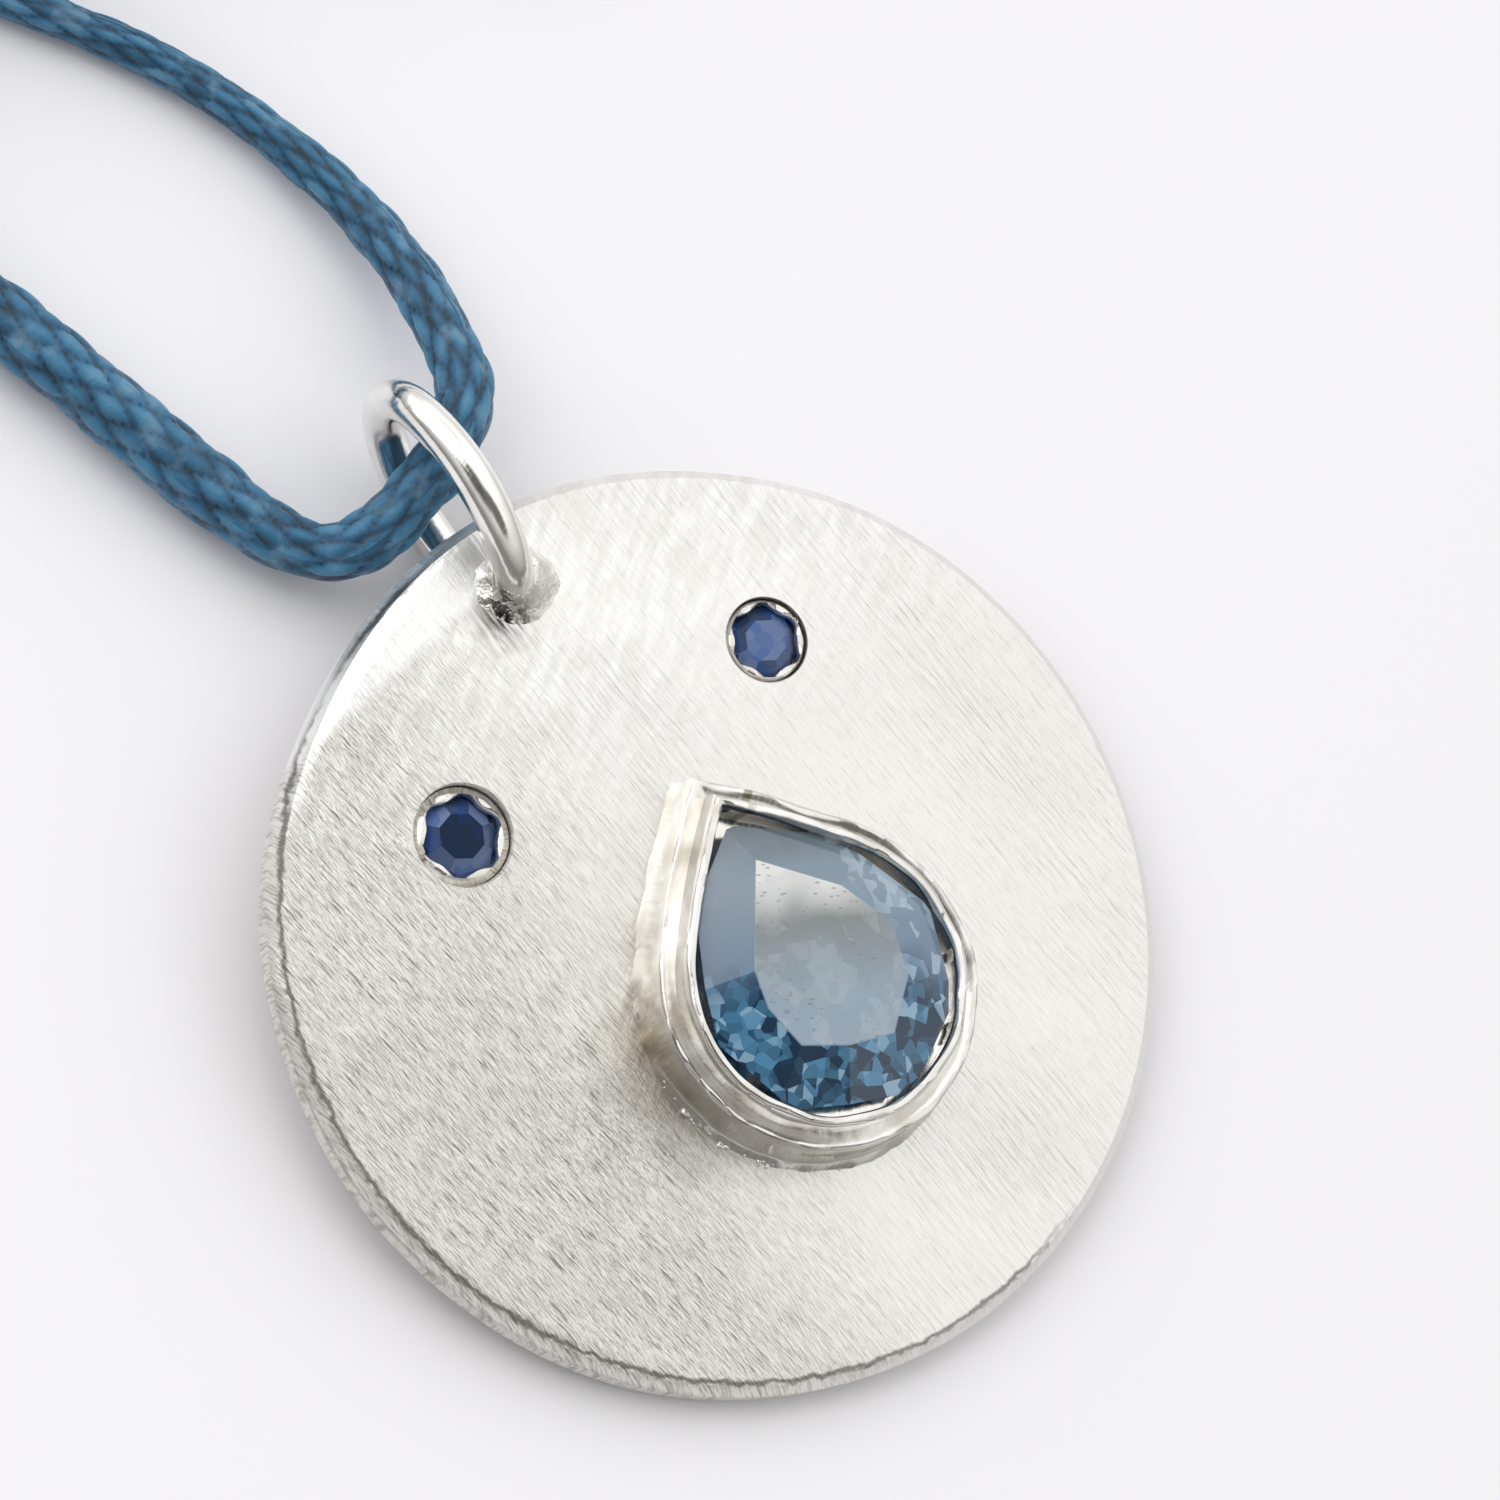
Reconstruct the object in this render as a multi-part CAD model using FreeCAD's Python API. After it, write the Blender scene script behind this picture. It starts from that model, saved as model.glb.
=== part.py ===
import FreeCAD, Part
import math
import os

# A silver disc pendant on a braided cord, lying face up on a table. All sizes are in millimetres.
# The pendant is drawn in its own frame: the centre of the disc's front face is the origin, +Y runs
# to the bail ring and +Z stands out of the face. It is then leaned back on its ring and its lower
# rim, as it lies on a table, and centred over the origin. The cord is drawn straight on the table.

# ---- driving dimensions -------------------------------------------------------------------------
disc_radius = 14.0
disc_thickness = 1.2
front_bevel = 0.3
back_bevel = 0.2

# pear setting: the aperture is a round end of pear_radius whose sides run to a point at pear_reach
pear_x = 1.07
pear_y = -2.92
pear_radius = 4.1
pear_reach = 5.86
pear_side = 24.0          # radius of the long, nearly straight sides
step_height = 1.55
step_overhang = 0.95      # outside of the step beyond the aperture
step_rim = 0.18           # rounded top edge of the step
collar_height = 2.3
collar_wall = 0.38        # outside of the collar beyond the aperture
collar_seat = 0.12        # inside of the collar below its lip, beyond the aperture
lip_height = 0.4          # the part of the collar that is turned in over the stone
lip_share = 0.6           # thickness of the collar's top against its wall
bearer_height = 1.3
bearer_ledge = 0.7        # how far the bearer reaches inwards from the seat
stone_table_height = 0.85
stone_girdle = 0.2
stone_pavilion = 1.1
table_share = 0.58        # size of the table against the girdle
culet_share = 0.12
seat_ease = 1.4           # lifts the stone's girdle so that its underside clears the bearer
stone_fit = 0.02          # gap between a stone and its seat

# small round settings, one on each side above the pear
left_setting = {"x": -5.47, "y": 6.24, "hole": 1.53, "aperture": 1.15}
right_setting = {"x": 6.18, "y": 6.47, "hole": 1.3, "aperture": 1.03}
collet_sink = 0.15        # the collet's top lies this far below the disc's face
collet_length = 1.75
collet_seat = 0.1         # the stone's girdle reaches this far past the aperture
collet_lip = 0.25
seat_step = 0.35          # the bore under the stone is this much narrower
stone_settle = 0.1        # room above the girdle of a small stone
lobe_count = 6
lobe_depth = 0.07         # share of the aperture's radius
round_crown = 0.3         # height of a small stone's crown against its radius
round_pavilion = 0.82     # depth of its pavilion against its radius
round_table = 0.55        # radius of its table against its radius
round_shoulder = 0.2      # share of the crown's height that lies under the lobed lip
round_shoulder_in = 0.12  # how far the shoulder stands inside the lobes

# bail ring: a round wire bent to an oval, through a hole near the disc's edge
wire_radius = 0.625
ring_room = 0.775         # between the wire and a cord that runs through the ring's middle
ring_stretch = 0.95       # the oval is this much longer each way than it is high
ring_end_share = 0.79     # radius of its ends against half its height
hole_edge = 2.4           # from the disc's edge to the middle of the hole
hole_gap = 0.14           # radial room round the wire, filled with solder
solder_height = 0.45
solder_spread = 0.55

# cord and its put-away coil
cord_radius = 1.0
coil_x = -2.6
coil_y = 36.64              # from the middle of the ring
coil_mean_radius = 11.0
coil_strands = 2          # strands lying side by side
coil_layers = 3.55        # height of the coil against the cord's thickness
coil_edge = 0.6

# end caps, rings and clasp
cap_length = 3.8
cap_wall = 0.45
cap_depth = 2.6
eye_thickness = 0.6
eye_hole = 0.8
eye_wall = 0.55
eye_neck = 1.65           # width of the neck between a cap and its eye
eye_sink = 0.33           # how far the eye's rim is let into the cap
cap_rounding = 0.27
link_wire = 0.32
link_radius = 1.8         # centreline of the clasp's jump ring
catch_wire = 0.3
catch_radius = 2.0        # centreline of the catch ring
clasp_thickness = 2.0
clasp_eye_hole = 0.85
clasp_eye_wall = 0.55
clasp_eye_thickness = 0.6
clasp_eye_height = 1.2    # middle of the eye above the table
clasp_reach = 6.3         # from the clasp's eye to the middle of its hook
hook_inner = 2.0
hook_outer = 3.1
hook_mouth = 0.9          # the hook's free end stops this far past its middle
pin_radius = 0.3
pin_fit = 0.05
lever_width = 0.95
lever_gap = 0.12          # each side of the lever, in its slot
lever_swing = 30          # degrees that the lever opens
lever_thickness = 0.9
lever_boss = 0.75         # radius of the lever's boss against its width
lever_pivot = (-0.7, -3.1)
lever_reach = 0.55        # the lever's tip goes past the inside of the hook by this much
lever_past = 0.4          # and past the middle of the hook by this much
spring_wire = 0.12
spring_pitch = 0.144      # from one turn of the spring to the next
spring_turn_wire = 0.096
# outlines in the clasp's own frame, from its eye; -Y runs to the hook
clasp_shoulder = [
    (-1.0, -0.9), (1.0, -0.9), (2.3, -2.4), (2.9, -4.6), (1.9, -4.9), (0.6, -4.1), (-1.3, -4.1), (-1.9, -2.6),
]
lever_thumb_top = [(-1.7, -4.0), (-3.4, -4.3)]
lever_thumb_foot = [(-3.5, -5.1), (-2.2, -5.4)]
hook_gap_side = -0.4      # the gap in the hook starts this far from its middle

# route of the cord from the coil, along the left strand, through the ring and back to the coil.
# x and y are measured from the middle of the ring. The third value is the share of the way up from a
# cord that lies on the table to the ring's middle
route = [
    (-14.2, 33.64, 0.0),
    (-12.55, 27.24, 0.0),
    (-10.75, 20.74, 0.0),
    (-8.6, 13.74, 0.0),
    (-6.4, 7.44, 0.0),
    (-5.1, 3.34, 0.049),
    (-4.5, 0.84, 0.345),
    (-2.0, 0.14, 0.788),
    (2.3, 1.74, 1.107),
    (3.35, 4.94, 0.64),
    (3.75, 7.94, 0.148),
    (3.1, 11.44, 0.0),
    (1.45, 15.34, 0.0),
    (-1.0, 18.74, 0.0),
    (-4.1, 22.49, 0.0),
    (-7.65, 26.86, 0.0),
    (-10.48, 30.48, 0.0),
]
# the two loose ends, from the top of the coil down to the table. The third value is the height above a
# cord whose end cap lies on the table
left_tail = [
    (3.4, 47.03, 4.3),
    (7.4, 44.74, 4.3),
    (11.3, 42.64, 2.45),
    (14.2, 39.44, 0.45),
    (15.5, 34.74, 0.0),
    (15.5, 29.94, 0.0),
]
right_tail = [
    (6.06, 41.65, 4.6),
    (8.3, 37.84, 4.8),
    (10.0, 34.75, 5.05),
    (11.2, 32.25, 2.85),
    (10.5, 29.95, 0.0),
    (10.5, 25.75, 0.0),
]


def point(x, y, z=0.0):
    return FreeCAD.Vector(x, y, z)


def write(node, shape):
    """Check that a piece is closed and sound, and write its file."""
    assert shape.isValid(), node
    assert shape.Volume > 0, node
    solids = shape.Solids
    assert solids, node
    out = solids[0] if len(solids) == 1 else Part.Compound(solids)
    out.exportStep("parts/" + node + ".step")
    print(f"{node:20s} {out.Volume:9.3f} mm3  solids {len(solids)}")


# ---- how the pendant lies -----------------------------------------------------------------------
ring_half_high = cord_radius + wire_radius + ring_room
ring_half_long = ring_half_high + ring_stretch
ring_end_radius = ring_half_high * ring_end_share
ring_y = disc_radius - hole_edge + ring_half_long
ring_z = -disc_thickness / 2


def ring_support(lean):
    """Lowest height of the oval ring when the pendant is leaned back by this angle."""
    middle = ring_y * math.sin(lean) + ring_z * math.cos(lean)
    flat = (ring_half_long - ring_end_radius) * abs(math.sin(lean))
    return middle - flat - oval_drop(lean) - wire_radius


def oval_drop(lean):
    """Depth of the oval below its middle, less the part that its end circles stand apart."""
    step = (ring_half_long - ring_end_radius) * abs(math.sin(lean))
    rise = math.radians(90) - math.atan2(ring_half_long - ring_end_radius, side_radius - ring_half_high)
    if math.radians(90) - abs(lean) >= rise:
        return side_radius - (side_radius - ring_half_high) * math.cos(lean) - step
    return ring_end_radius


side_radius = ((ring_half_long - ring_end_radius) ** 2 + ring_half_high ** 2 - ring_end_radius ** 2)
side_radius = side_radius / (2 * (ring_half_high - ring_end_radius))


def rim_support(lean):
    """Lowest height of the disc's lower rim when the pendant is leaned back by this angle."""
    return -(disc_radius - back_bevel) * math.sin(lean) - disc_thickness * math.cos(lean)


def resting_lean():
    """The angle at which the ring and the lower rim touch the table together."""
    low = 0.0
    high = math.radians(30)
    for _ in range(60):
        lean = (low + high) / 2
        if ring_support(lean) < rim_support(lean):
            low = lean
        else:
            high = lean
    return low


lean = resting_lean()
far_end = (ring_y + ring_half_long + wire_radius) * math.cos(lean) - ring_z * math.sin(lean)
near_end = -disc_radius * math.cos(lean) + front_bevel * math.sin(lean)
shift_y = -(far_end + near_end) / 2
shift_z = -rim_support(lean)


ring_place_y = ring_y * math.cos(lean) - ring_z * math.sin(lean) + shift_y
ring_place_z = ring_y * math.sin(lean) + ring_z * math.cos(lean) + shift_z
lift = ring_place_z - cord_radius
route = [(x, y + ring_place_y, cord_radius + share * lift) for x, y, share in route]
left_tail = [(x, y + ring_place_y, cord_radius + cap_wall + z) for x, y, z in left_tail]
right_tail = [(x, y + ring_place_y, cord_radius + cap_wall + z) for x, y, z in right_tail]
coil_y += ring_place_y
coil_height = coil_layers * 2 * cord_radius


def lay(shape):
    """Lean a piece of the pendant back and set it down on the table."""
    out = shape.copy()
    out.rotate(point(0, 0, 0), point(1, 0, 0), math.degrees(lean))
    out.translate(point(0, shift_y, shift_z))
    return out


# ---- pear outline -------------------------------------------------------------------------------
def pear_wire(offset, z, share=1.0):
    """A pear outline, offset outwards from the aperture, at height z; share scales it about its middle."""
    away = pear_side - pear_radius          # from the middle to the centre of a side's arc
    rise = (pear_side ** 2 - away ** 2 - pear_reach ** 2) / (2 * pear_reach * away)
    join = math.asin(rise)                  # where the round end runs into a side
    across = away * math.cos(join)
    below = away * math.sin(join)
    radius = pear_radius + offset
    side = pear_side + offset
    reach = math.sqrt(side ** 2 - across ** 2) - below
    bow = (join + math.acos(across / side)) / 2

    def at(x, y):
        return point(pear_x + x * share, pear_y + y * share, z)

    join_x = radius * math.cos(join)
    join_y = radius * math.sin(join)
    bow_x = side * math.cos(bow) - across
    bow_y = side * math.sin(bow) - below
    edges = [
        Part.Arc(at(join_x, join_y), at(0, -radius), at(-join_x, join_y)).toShape(),
        Part.Arc(at(-join_x, join_y), at(-bow_x, bow_y), at(0, reach)).toShape(),
        Part.Arc(at(0, reach), at(bow_x, bow_y), at(join_x, join_y)).toShape(),
    ]
    return Part.Wire(edges)


def pear_prism(offset, z_low, z_high):
    return Part.Face(pear_wire(offset, z_low)).extrude(point(0, 0, z_high - z_low))


def pear_taper(offset_low, z_low, offset_high, z_high, share_low=1.0, share_high=1.0):
    wires = [pear_wire(offset_low, z_low, share_low), pear_wire(offset_high, z_high, share_high)]
    return Part.makeLoft(wires, True, True)


# ---- disc and settings --------------------------------------------------------------------------
def make_disc():
    profile = [
        point(0, 0, 0),
        point(disc_radius - front_bevel, 0, 0),
        point(disc_radius, 0, -front_bevel),
        point(disc_radius, 0, -disc_thickness + back_bevel),
        point(disc_radius - back_bevel, 0, -disc_thickness),
        point(0, 0, -disc_thickness),
        point(0, 0, 0),
    ]
    disc = Part.Face(Part.makePolygon(profile)).revolve(point(0, 0, 0), point(0, 0, 1), 360)
    for setting in (left_setting, right_setting):
        disc = disc.cut(drill(setting["x"], setting["y"], setting["hole"]))
    return disc.cut(drill(0, disc_radius - hole_edge, wire_radius + hole_gap))


def drill(x, y, radius):
    return Part.makeCylinder(radius, disc_thickness * 3, point(x, y, -disc_thickness * 2))


def lobed_opening(radius, z_low, z_high):
    """An opening whose edge is pressed into shallow lobes."""
    poles = []
    for index in range(lobe_count * 4):
        angle = math.radians(360 / (lobe_count * 4)) * index
        reach = radius * (1 + lobe_depth * math.cos(lobe_count * angle))
        poles.append(point(reach * math.cos(angle), reach * math.sin(angle), z_low))
    curve = Part.BSplineCurve()
    curve.interpolate(poles, PeriodicFlag=True)
    return Part.Face(Part.Wire(curve.toShape())).extrude(point(0, 0, z_high - z_low))


def make_collet(setting):
    """A short tube with a seat for the stone and a lobed lip over it."""
    top = -collet_sink
    seat = setting["aperture"] + collet_seat
    body = Part.makeCylinder(setting["hole"], collet_length, point(0, 0, top - collet_length))
    bore = Part.makeCylinder(seat - seat_step, collet_length, point(0, 0, top - collet_length))
    cone_height = seat - seat_step
    pocket = stone_girdle + stone_settle
    floor = top - collet_lip - pocket
    cone = Part.makeCone(seat - seat_step, seat, cone_height, point(0, 0, floor - cone_height))
    girdle = Part.makeCylinder(seat, pocket, point(0, 0, floor))
    opening = lobed_opening(setting["aperture"], top - collet_lip, top + 1)
    body = body.cut(bore).cut(cone).cut(girdle).cut(opening)
    body.translate(point(setting["x"], setting["y"], 0))
    return body


def make_round_stone(setting):
    """A small brilliant: table, crown, girdle and pavilion turned about its axis."""
    radius = setting["aperture"] + collet_seat - stone_fit
    girdle = -collet_sink - collet_lip - stone_settle - stone_girdle / 2
    crown = radius * round_crown
    pavilion = radius * round_pavilion
    half = stone_girdle / 2 - stone_fit
    outline = [
        point(0, 0, girdle + half + crown),
        point(radius * round_table, 0, girdle + half + crown),
        point(radius * (1 - lobe_depth) - round_shoulder_in, 0, girdle + half + crown * round_shoulder),
        point(radius, 0, girdle + half),
        point(radius, 0, girdle - half),
        point(0, 0, girdle - half - pavilion),
        point(0, 0, girdle + half + crown),
    ]
    stone = Part.Face(Part.makePolygon(outline)).revolve(point(0, 0, 0), point(0, 0, 1), 360)
    stone.translate(point(setting["x"], setting["y"], 0))
    return stone


def make_step():
    """The low outer wall, its top edge turned over a little."""
    wall = pear_prism(step_overhang, 0, step_height - step_rim)
    rim = pear_taper(step_overhang, step_height - step_rim, step_overhang - step_rim, step_height)
    return wall.fuse(rim).removeSplitter().cut(pear_prism(collar_wall, -1, step_height + 1))


def make_collar():
    """The inner wall. Its top leans in to the lip that holds the stone."""
    wall = pear_prism(collar_wall, 0, step_height)
    top = pear_taper(collar_wall, step_height, collar_wall * lip_share, collar_height)
    body = wall.fuse(top).removeSplitter()
    seat = pear_prism(collar_seat, -1, collar_height - lip_height)
    aperture = pear_prism(0, -1, collar_height + 1)
    return body.cut(seat).cut(aperture)


def make_bearer():
    ring = pear_prism(collar_seat, 0, bearer_height)
    return ring.cut(pear_prism(collar_seat - bearer_ledge, -1, bearer_height + 1))


def make_pear_stone():
    girdle = collar_seat - stone_fit
    low = bearer_height + stone_pavilion * bearer_ledge / pear_radius * seat_ease
    high = low + stone_girdle
    body = pear_prism(girdle, low, high)
    crown = pear_taper(girdle, high, girdle, high + stone_table_height, 1.0, table_share)
    pavilion = pear_taper(girdle, low - stone_pavilion, girdle, low, culet_share, 1.0)
    return body.fuse(crown).fuse(pavilion).removeSplitter()


# ---- bail ring ----------------------------------------------------------------------------------
def make_ring():
    """Four tangent arcs make the oval, and the round wire follows them."""
    split = math.atan2(side_radius - ring_half_high, ring_half_long - ring_end_radius)

    def at(y, z):
        return point(0, ring_y + y, ring_z + z)

    end_y = ring_half_long - ring_end_radius
    corner_y = end_y + ring_end_radius * math.cos(split)
    corner_z = ring_end_radius * math.sin(split)
    edges = [
        Part.Arc(at(corner_y, -corner_z), at(ring_half_long, 0), at(corner_y, corner_z)).toShape(),
        Part.Arc(at(corner_y, corner_z), at(0, ring_half_high), at(-corner_y, corner_z)).toShape(),
        Part.Arc(at(-corner_y, corner_z), at(-ring_half_long, 0), at(-corner_y, -corner_z)).toShape(),
        Part.Arc(at(-corner_y, -corner_z), at(0, -ring_half_high), at(corner_y, -corner_z)).toShape(),
    ]
    path = Part.Wire(edges)
    start = edges[0].Curve.value(edges[0].FirstParameter)
    tangent = edges[0].tangentAt(edges[0].FirstParameter)
    section = Part.Wire(Part.Circle(start, tangent, wire_radius).toShape())
    shell = path.makePipeShell([section], True, True)
    return shell if shell.Solids else Part.Solid(shell)


def make_bail_solder(ring):
    """Solder drawn round the wire in its hole and in a low cone on each face of the disc."""
    y = disc_radius - hole_edge
    hole = wire_radius + hole_gap
    foot = hole + solder_spread
    fill = Part.makeCylinder(hole, disc_thickness, point(0, y, -disc_thickness))
    front = Part.makeCone(foot, hole, solder_height, point(0, y, 0))
    back = Part.makeCone(hole, foot, solder_height, point(0, y, -disc_thickness - solder_height))
    return fill.fuse(front).fuse(back).removeSplitter().cut(ring)


# ---- cord ---------------------------------------------------------------------------------------
def route_path(points, name):
    """Straight runs joined by tangent arcs, each arc as large as its two runs allow."""
    corners = [point(*p) for p in points]
    edges = []
    radii = []
    last = corners[0]
    for before, corner, after in zip(corners, corners[1:], corners[2:]):
        into = (corner - before).normalize()
        out = (after - corner).normalize()
        turn = into.getAngle(out)
        reach = 0.45 * min((corner - before).Length, (after - corner).Length)
        radius = reach / math.tan(turn / 2)
        start = corner - into * reach
        end = corner + out * reach
        inward = (out - into).normalize()
        middle = corner + inward * (radius / math.cos(turn / 2) - radius)
        edges.append(Part.LineSegment(last, start).toShape())
        edges.append(Part.Arc(start, middle, end).toShape())
        radii.append(round(radius, 1))
        last = end
    edges.append(Part.LineSegment(last, corners[-1]).toShape())
    print(name, "bend radii", radii)
    return Part.Wire(edges)


def make_tube(points, name):
    path = route_path(points, name)
    start = point(*points[0])
    direction = point(*points[1]) - start
    section = Part.Wire(Part.Circle(start, direction, cord_radius).toShape())
    tube = path.makePipeShell([section], True, False)
    expected = math.pi * cord_radius ** 2 * path.Length
    print(f"{name} length {path.Length:.1f} volume share {tube.Volume / expected:.4f}")
    assert abs(tube.Volume / expected - 1) < 0.01
    return tube


def make_coil():
    half = coil_strands * cord_radius
    outer = Part.makeCylinder(coil_mean_radius + half, coil_height, point(coil_x, coil_y, 0))
    inner = Part.makeCylinder(coil_mean_radius - half, coil_height, point(coil_x, coil_y, 0))
    ring = outer.cut(inner)
    rims = [edge for edge in ring.Edges if abs(edge.BoundBox.ZMin - edge.BoundBox.ZMax) < 1e-6]
    return ring.makeFillet(coil_edge, rims)


# ---- end caps, rings and clasp ------------------------------------------------------------------
def make_cap(tail):
    """A cup glued over the end of the cord, with a flat eye on its closed end."""
    end = point(*tail[-1])
    outer = cord_radius + cap_wall
    mouth = end.y + cap_depth
    cup = Part.makeCylinder(outer, cap_length, point(end.x, mouth, end.z), point(0, -1, 0))
    cup = cup.makeFillet(cap_rounding, [edge for edge in cup.Edges if len(edge.Vertexes) == 1])
    bore = Part.makeCylinder(cord_radius, cap_depth, point(end.x, mouth, end.z), point(0, -1, 0))
    eye_y = cap_eye(tail).y
    low = end.z - eye_thickness / 2
    eye = Part.makeCylinder(eye_hole + eye_wall, eye_thickness, point(end.x, eye_y, low))
    neck_length = mouth - cap_length + cap_wall - eye_y
    neck = Part.makeBox(eye_neck, neck_length, eye_thickness, point(end.x - eye_neck / 2, eye_y, low))
    hole = Part.makeCylinder(eye_hole, eye_thickness * 3, point(end.x, eye_y, low - eye_thickness))
    return cup.fuse(eye).fuse(neck).removeSplitter().cut(bore).cut(hole)


def cap_eye(tail):
    """Middle of the eye on the cap of this tail."""
    end = point(*tail[-1])
    return point(end.x, end.y + cap_depth - cap_length - eye_sink - eye_hole, end.z)


def link_centre(tail, radius, wire):
    """Middle of a ring that stands on the table and passes through the cap's eye."""
    eye = cap_eye(tail)
    height = radius + wire
    along = math.sqrt(radius ** 2 - (height - eye.z) ** 2)
    return point(eye.x, eye.y - along, height)


def make_link(tail, radius, wire):
    return Part.makeTorus(radius, wire, link_centre(tail, radius, wire), point(1, 0, 0))


def clasp_origin():
    """Point on the clasp's mid-plane in line with its eye, which the jump ring passes through."""
    centre = link_centre(left_tail, link_radius, link_wire)
    drop = centre.z - clasp_eye_height
    return point(centre.x, centre.y - math.sqrt(link_radius ** 2 - drop ** 2), clasp_thickness / 2)


def slab(outline, thickness):
    """A flat piece with this outline, its mid-plane at z = 0."""
    face = Part.Face(Part.makePolygon(outline + outline[:1]))
    face.translate(point(0, 0, -thickness / 2))
    return face.extrude(point(0, 0, thickness))


def drum(radius, thickness, x, y):
    return Part.makeCylinder(radius, thickness, point(x, y, -thickness / 2))


def to_clasp(shape):
    out = shape.copy()
    out.translate(clasp_origin())
    return out


lever_tip = (-hook_inner - lever_reach, -clasp_reach - lever_past)


def lever_shape(width, thickness):
    """The lever's boss, the bar that closes the hook and the thumb piece."""
    boss = drum(width * lever_boss, thickness, *lever_pivot)
    across = width / 2
    outline = [
        point(lever_pivot[0] + across, lever_pivot[1]),
        point(lever_pivot[0] - across, lever_pivot[1] + across),
        point(lever_tip[0] - across, lever_tip[1]),
        point(lever_tip[0] + across, lever_tip[1]),
    ]
    spare = (width - lever_width) / 2
    top = [point(x, y + spare) for x, y in lever_thumb_top]
    foot = [point(x, y - spare) for x, y in lever_thumb_foot]
    thumb = slab(top + foot, thickness)
    return boss.fuse(slab(outline, thickness)).fuse(thumb).removeSplitter()


def make_clasp_body():
    """Eye, shoulder and hook in one casting, slotted for the lever."""
    eye = drum(clasp_eye_hole + clasp_eye_wall, clasp_eye_thickness, 0, 0)
    eye.translate(point(0, 0, clasp_eye_height - clasp_thickness / 2))
    shoulder = slab([point(x, y) for x, y in clasp_shoulder], clasp_thickness)
    ring = drum(hook_outer, clasp_thickness, 0, -clasp_reach)
    ring = ring.cut(drum(hook_inner, clasp_thickness * 2, 0, -clasp_reach))
    gap_top = -clasp_reach + hook_outer + 1
    gap_foot = -clasp_reach - hook_mouth
    gap_end = -hook_outer - 1
    gap = slab([
        point(hook_gap_side, gap_top), point(hook_gap_side, gap_foot),
        point(gap_end, gap_foot), point(gap_end, gap_top),
    ], clasp_thickness * 2)
    body = eye.fuse(shoulder).fuse(ring.cut(gap)).removeSplitter()
    for angle in range(0, lever_swing + 1, 5):
        room = lever_shape(lever_width + 2 * lever_gap, lever_thickness + 2 * lever_gap)
        room.rotate(point(*lever_pivot), point(0, 0, 1), angle)
        body = body.cut(room)
    pin_hole = drum(pin_radius, clasp_thickness * 2, *lever_pivot)
    eye_bore = drum(clasp_eye_hole, clasp_thickness * 2, 0, 0)
    return to_clasp(body.cut(pin_hole).cut(eye_bore))


def make_lever():
    lever = lever_shape(lever_width, lever_thickness)
    bore = drum(pin_radius + pin_fit, clasp_thickness, *lever_pivot)
    return to_clasp(lever.cut(bore).cut(spring_room()))


def spring_room():
    """Pocket in the middle of the lever's boss for the spring."""
    radius = pin_radius + 2 * pin_fit + spring_wire * 2
    return drum(radius, lever_thickness * 0.6, *lever_pivot)


def make_pin():
    return to_clasp(drum(pin_radius, clasp_thickness, *lever_pivot))


def make_spring():
    """Three touching turns of fine wire round the pin."""
    turns = None
    middle = pin_radius + pin_fit + spring_wire
    for index in (-1, 0, 1):
        centre = point(lever_pivot[0], lever_pivot[1], index * spring_pitch)
        turn = Part.makeTorus(middle, spring_turn_wire, centre, point(0, 0, 1))
        turns = turn if turns is None else turns.fuse(turn)
    return to_clasp(turns)


def main():
    os.makedirs("parts", exist_ok=True)
    ring = make_ring()
    pendant = {
        "disc": make_disc(),
        "bezel_step": make_step(),
        "bezel_collar": make_collar(),
        "bezel_bearer": make_bearer(),
        "pear_stone": make_pear_stone(),
        "left_collet": make_collet(left_setting),
        "right_collet": make_collet(right_setting),
        "left_sapphire": make_round_stone(left_setting),
        "right_sapphire": make_round_stone(right_setting),
        "bail_ring": ring,
        "bail_solder": make_bail_solder(ring),
    }
    for node, shape in pendant.items():
        write(node, lay(shape))
    write("neck_cord", make_tube(route, "neck_cord"))
    write("cord_coil", make_coil())
    write("cord_tail_left", make_tube(left_tail, "cord_tail_left"))
    write("cord_tail_right", make_tube(right_tail, "cord_tail_right"))
    write("end_cap_left", make_cap(left_tail))
    write("end_cap_right", make_cap(right_tail))
    write("clasp_jump_ring", make_link(left_tail, link_radius, link_wire))
    write("catch_ring", make_link(right_tail, catch_radius, catch_wire))
    write("clasp_body", make_clasp_body())
    write("clasp_lever", make_lever())
    write("clasp_pin", make_pin())
    write("clasp_spring", make_spring())
    print(f"lean {math.degrees(lean):.3f} shift y {shift_y:.3f} z {shift_z:.3f}")
    for name, spot in (
        ("jump ring centre", link_centre(left_tail, link_radius, link_wire)),
        ("left cap eye", cap_eye(left_tail)),
        ("catch ring centre", link_centre(right_tail, catch_radius, catch_wire)),
        ("right cap eye", cap_eye(right_tail)),
        ("clasp eye", clasp_origin()),
    ):
        print(f"{name} {spot.x:.3f} {spot.y:.3f} {spot.z:.3f}")


main()
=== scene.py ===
# %% [markdown]
# A silver disc pendant on a braided cord, lying on a white table. The CAD model is the fixed frame: it
# gives the sizes, the places and the bodies that move. This script gives it its camera, its light and
# its looks. Lengths are written in millimetres and turned to metres where a piece is placed.

# %% Frame
import math
import random

import bmesh
import bpy
from mathutils import Matrix, Vector, noise


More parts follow.
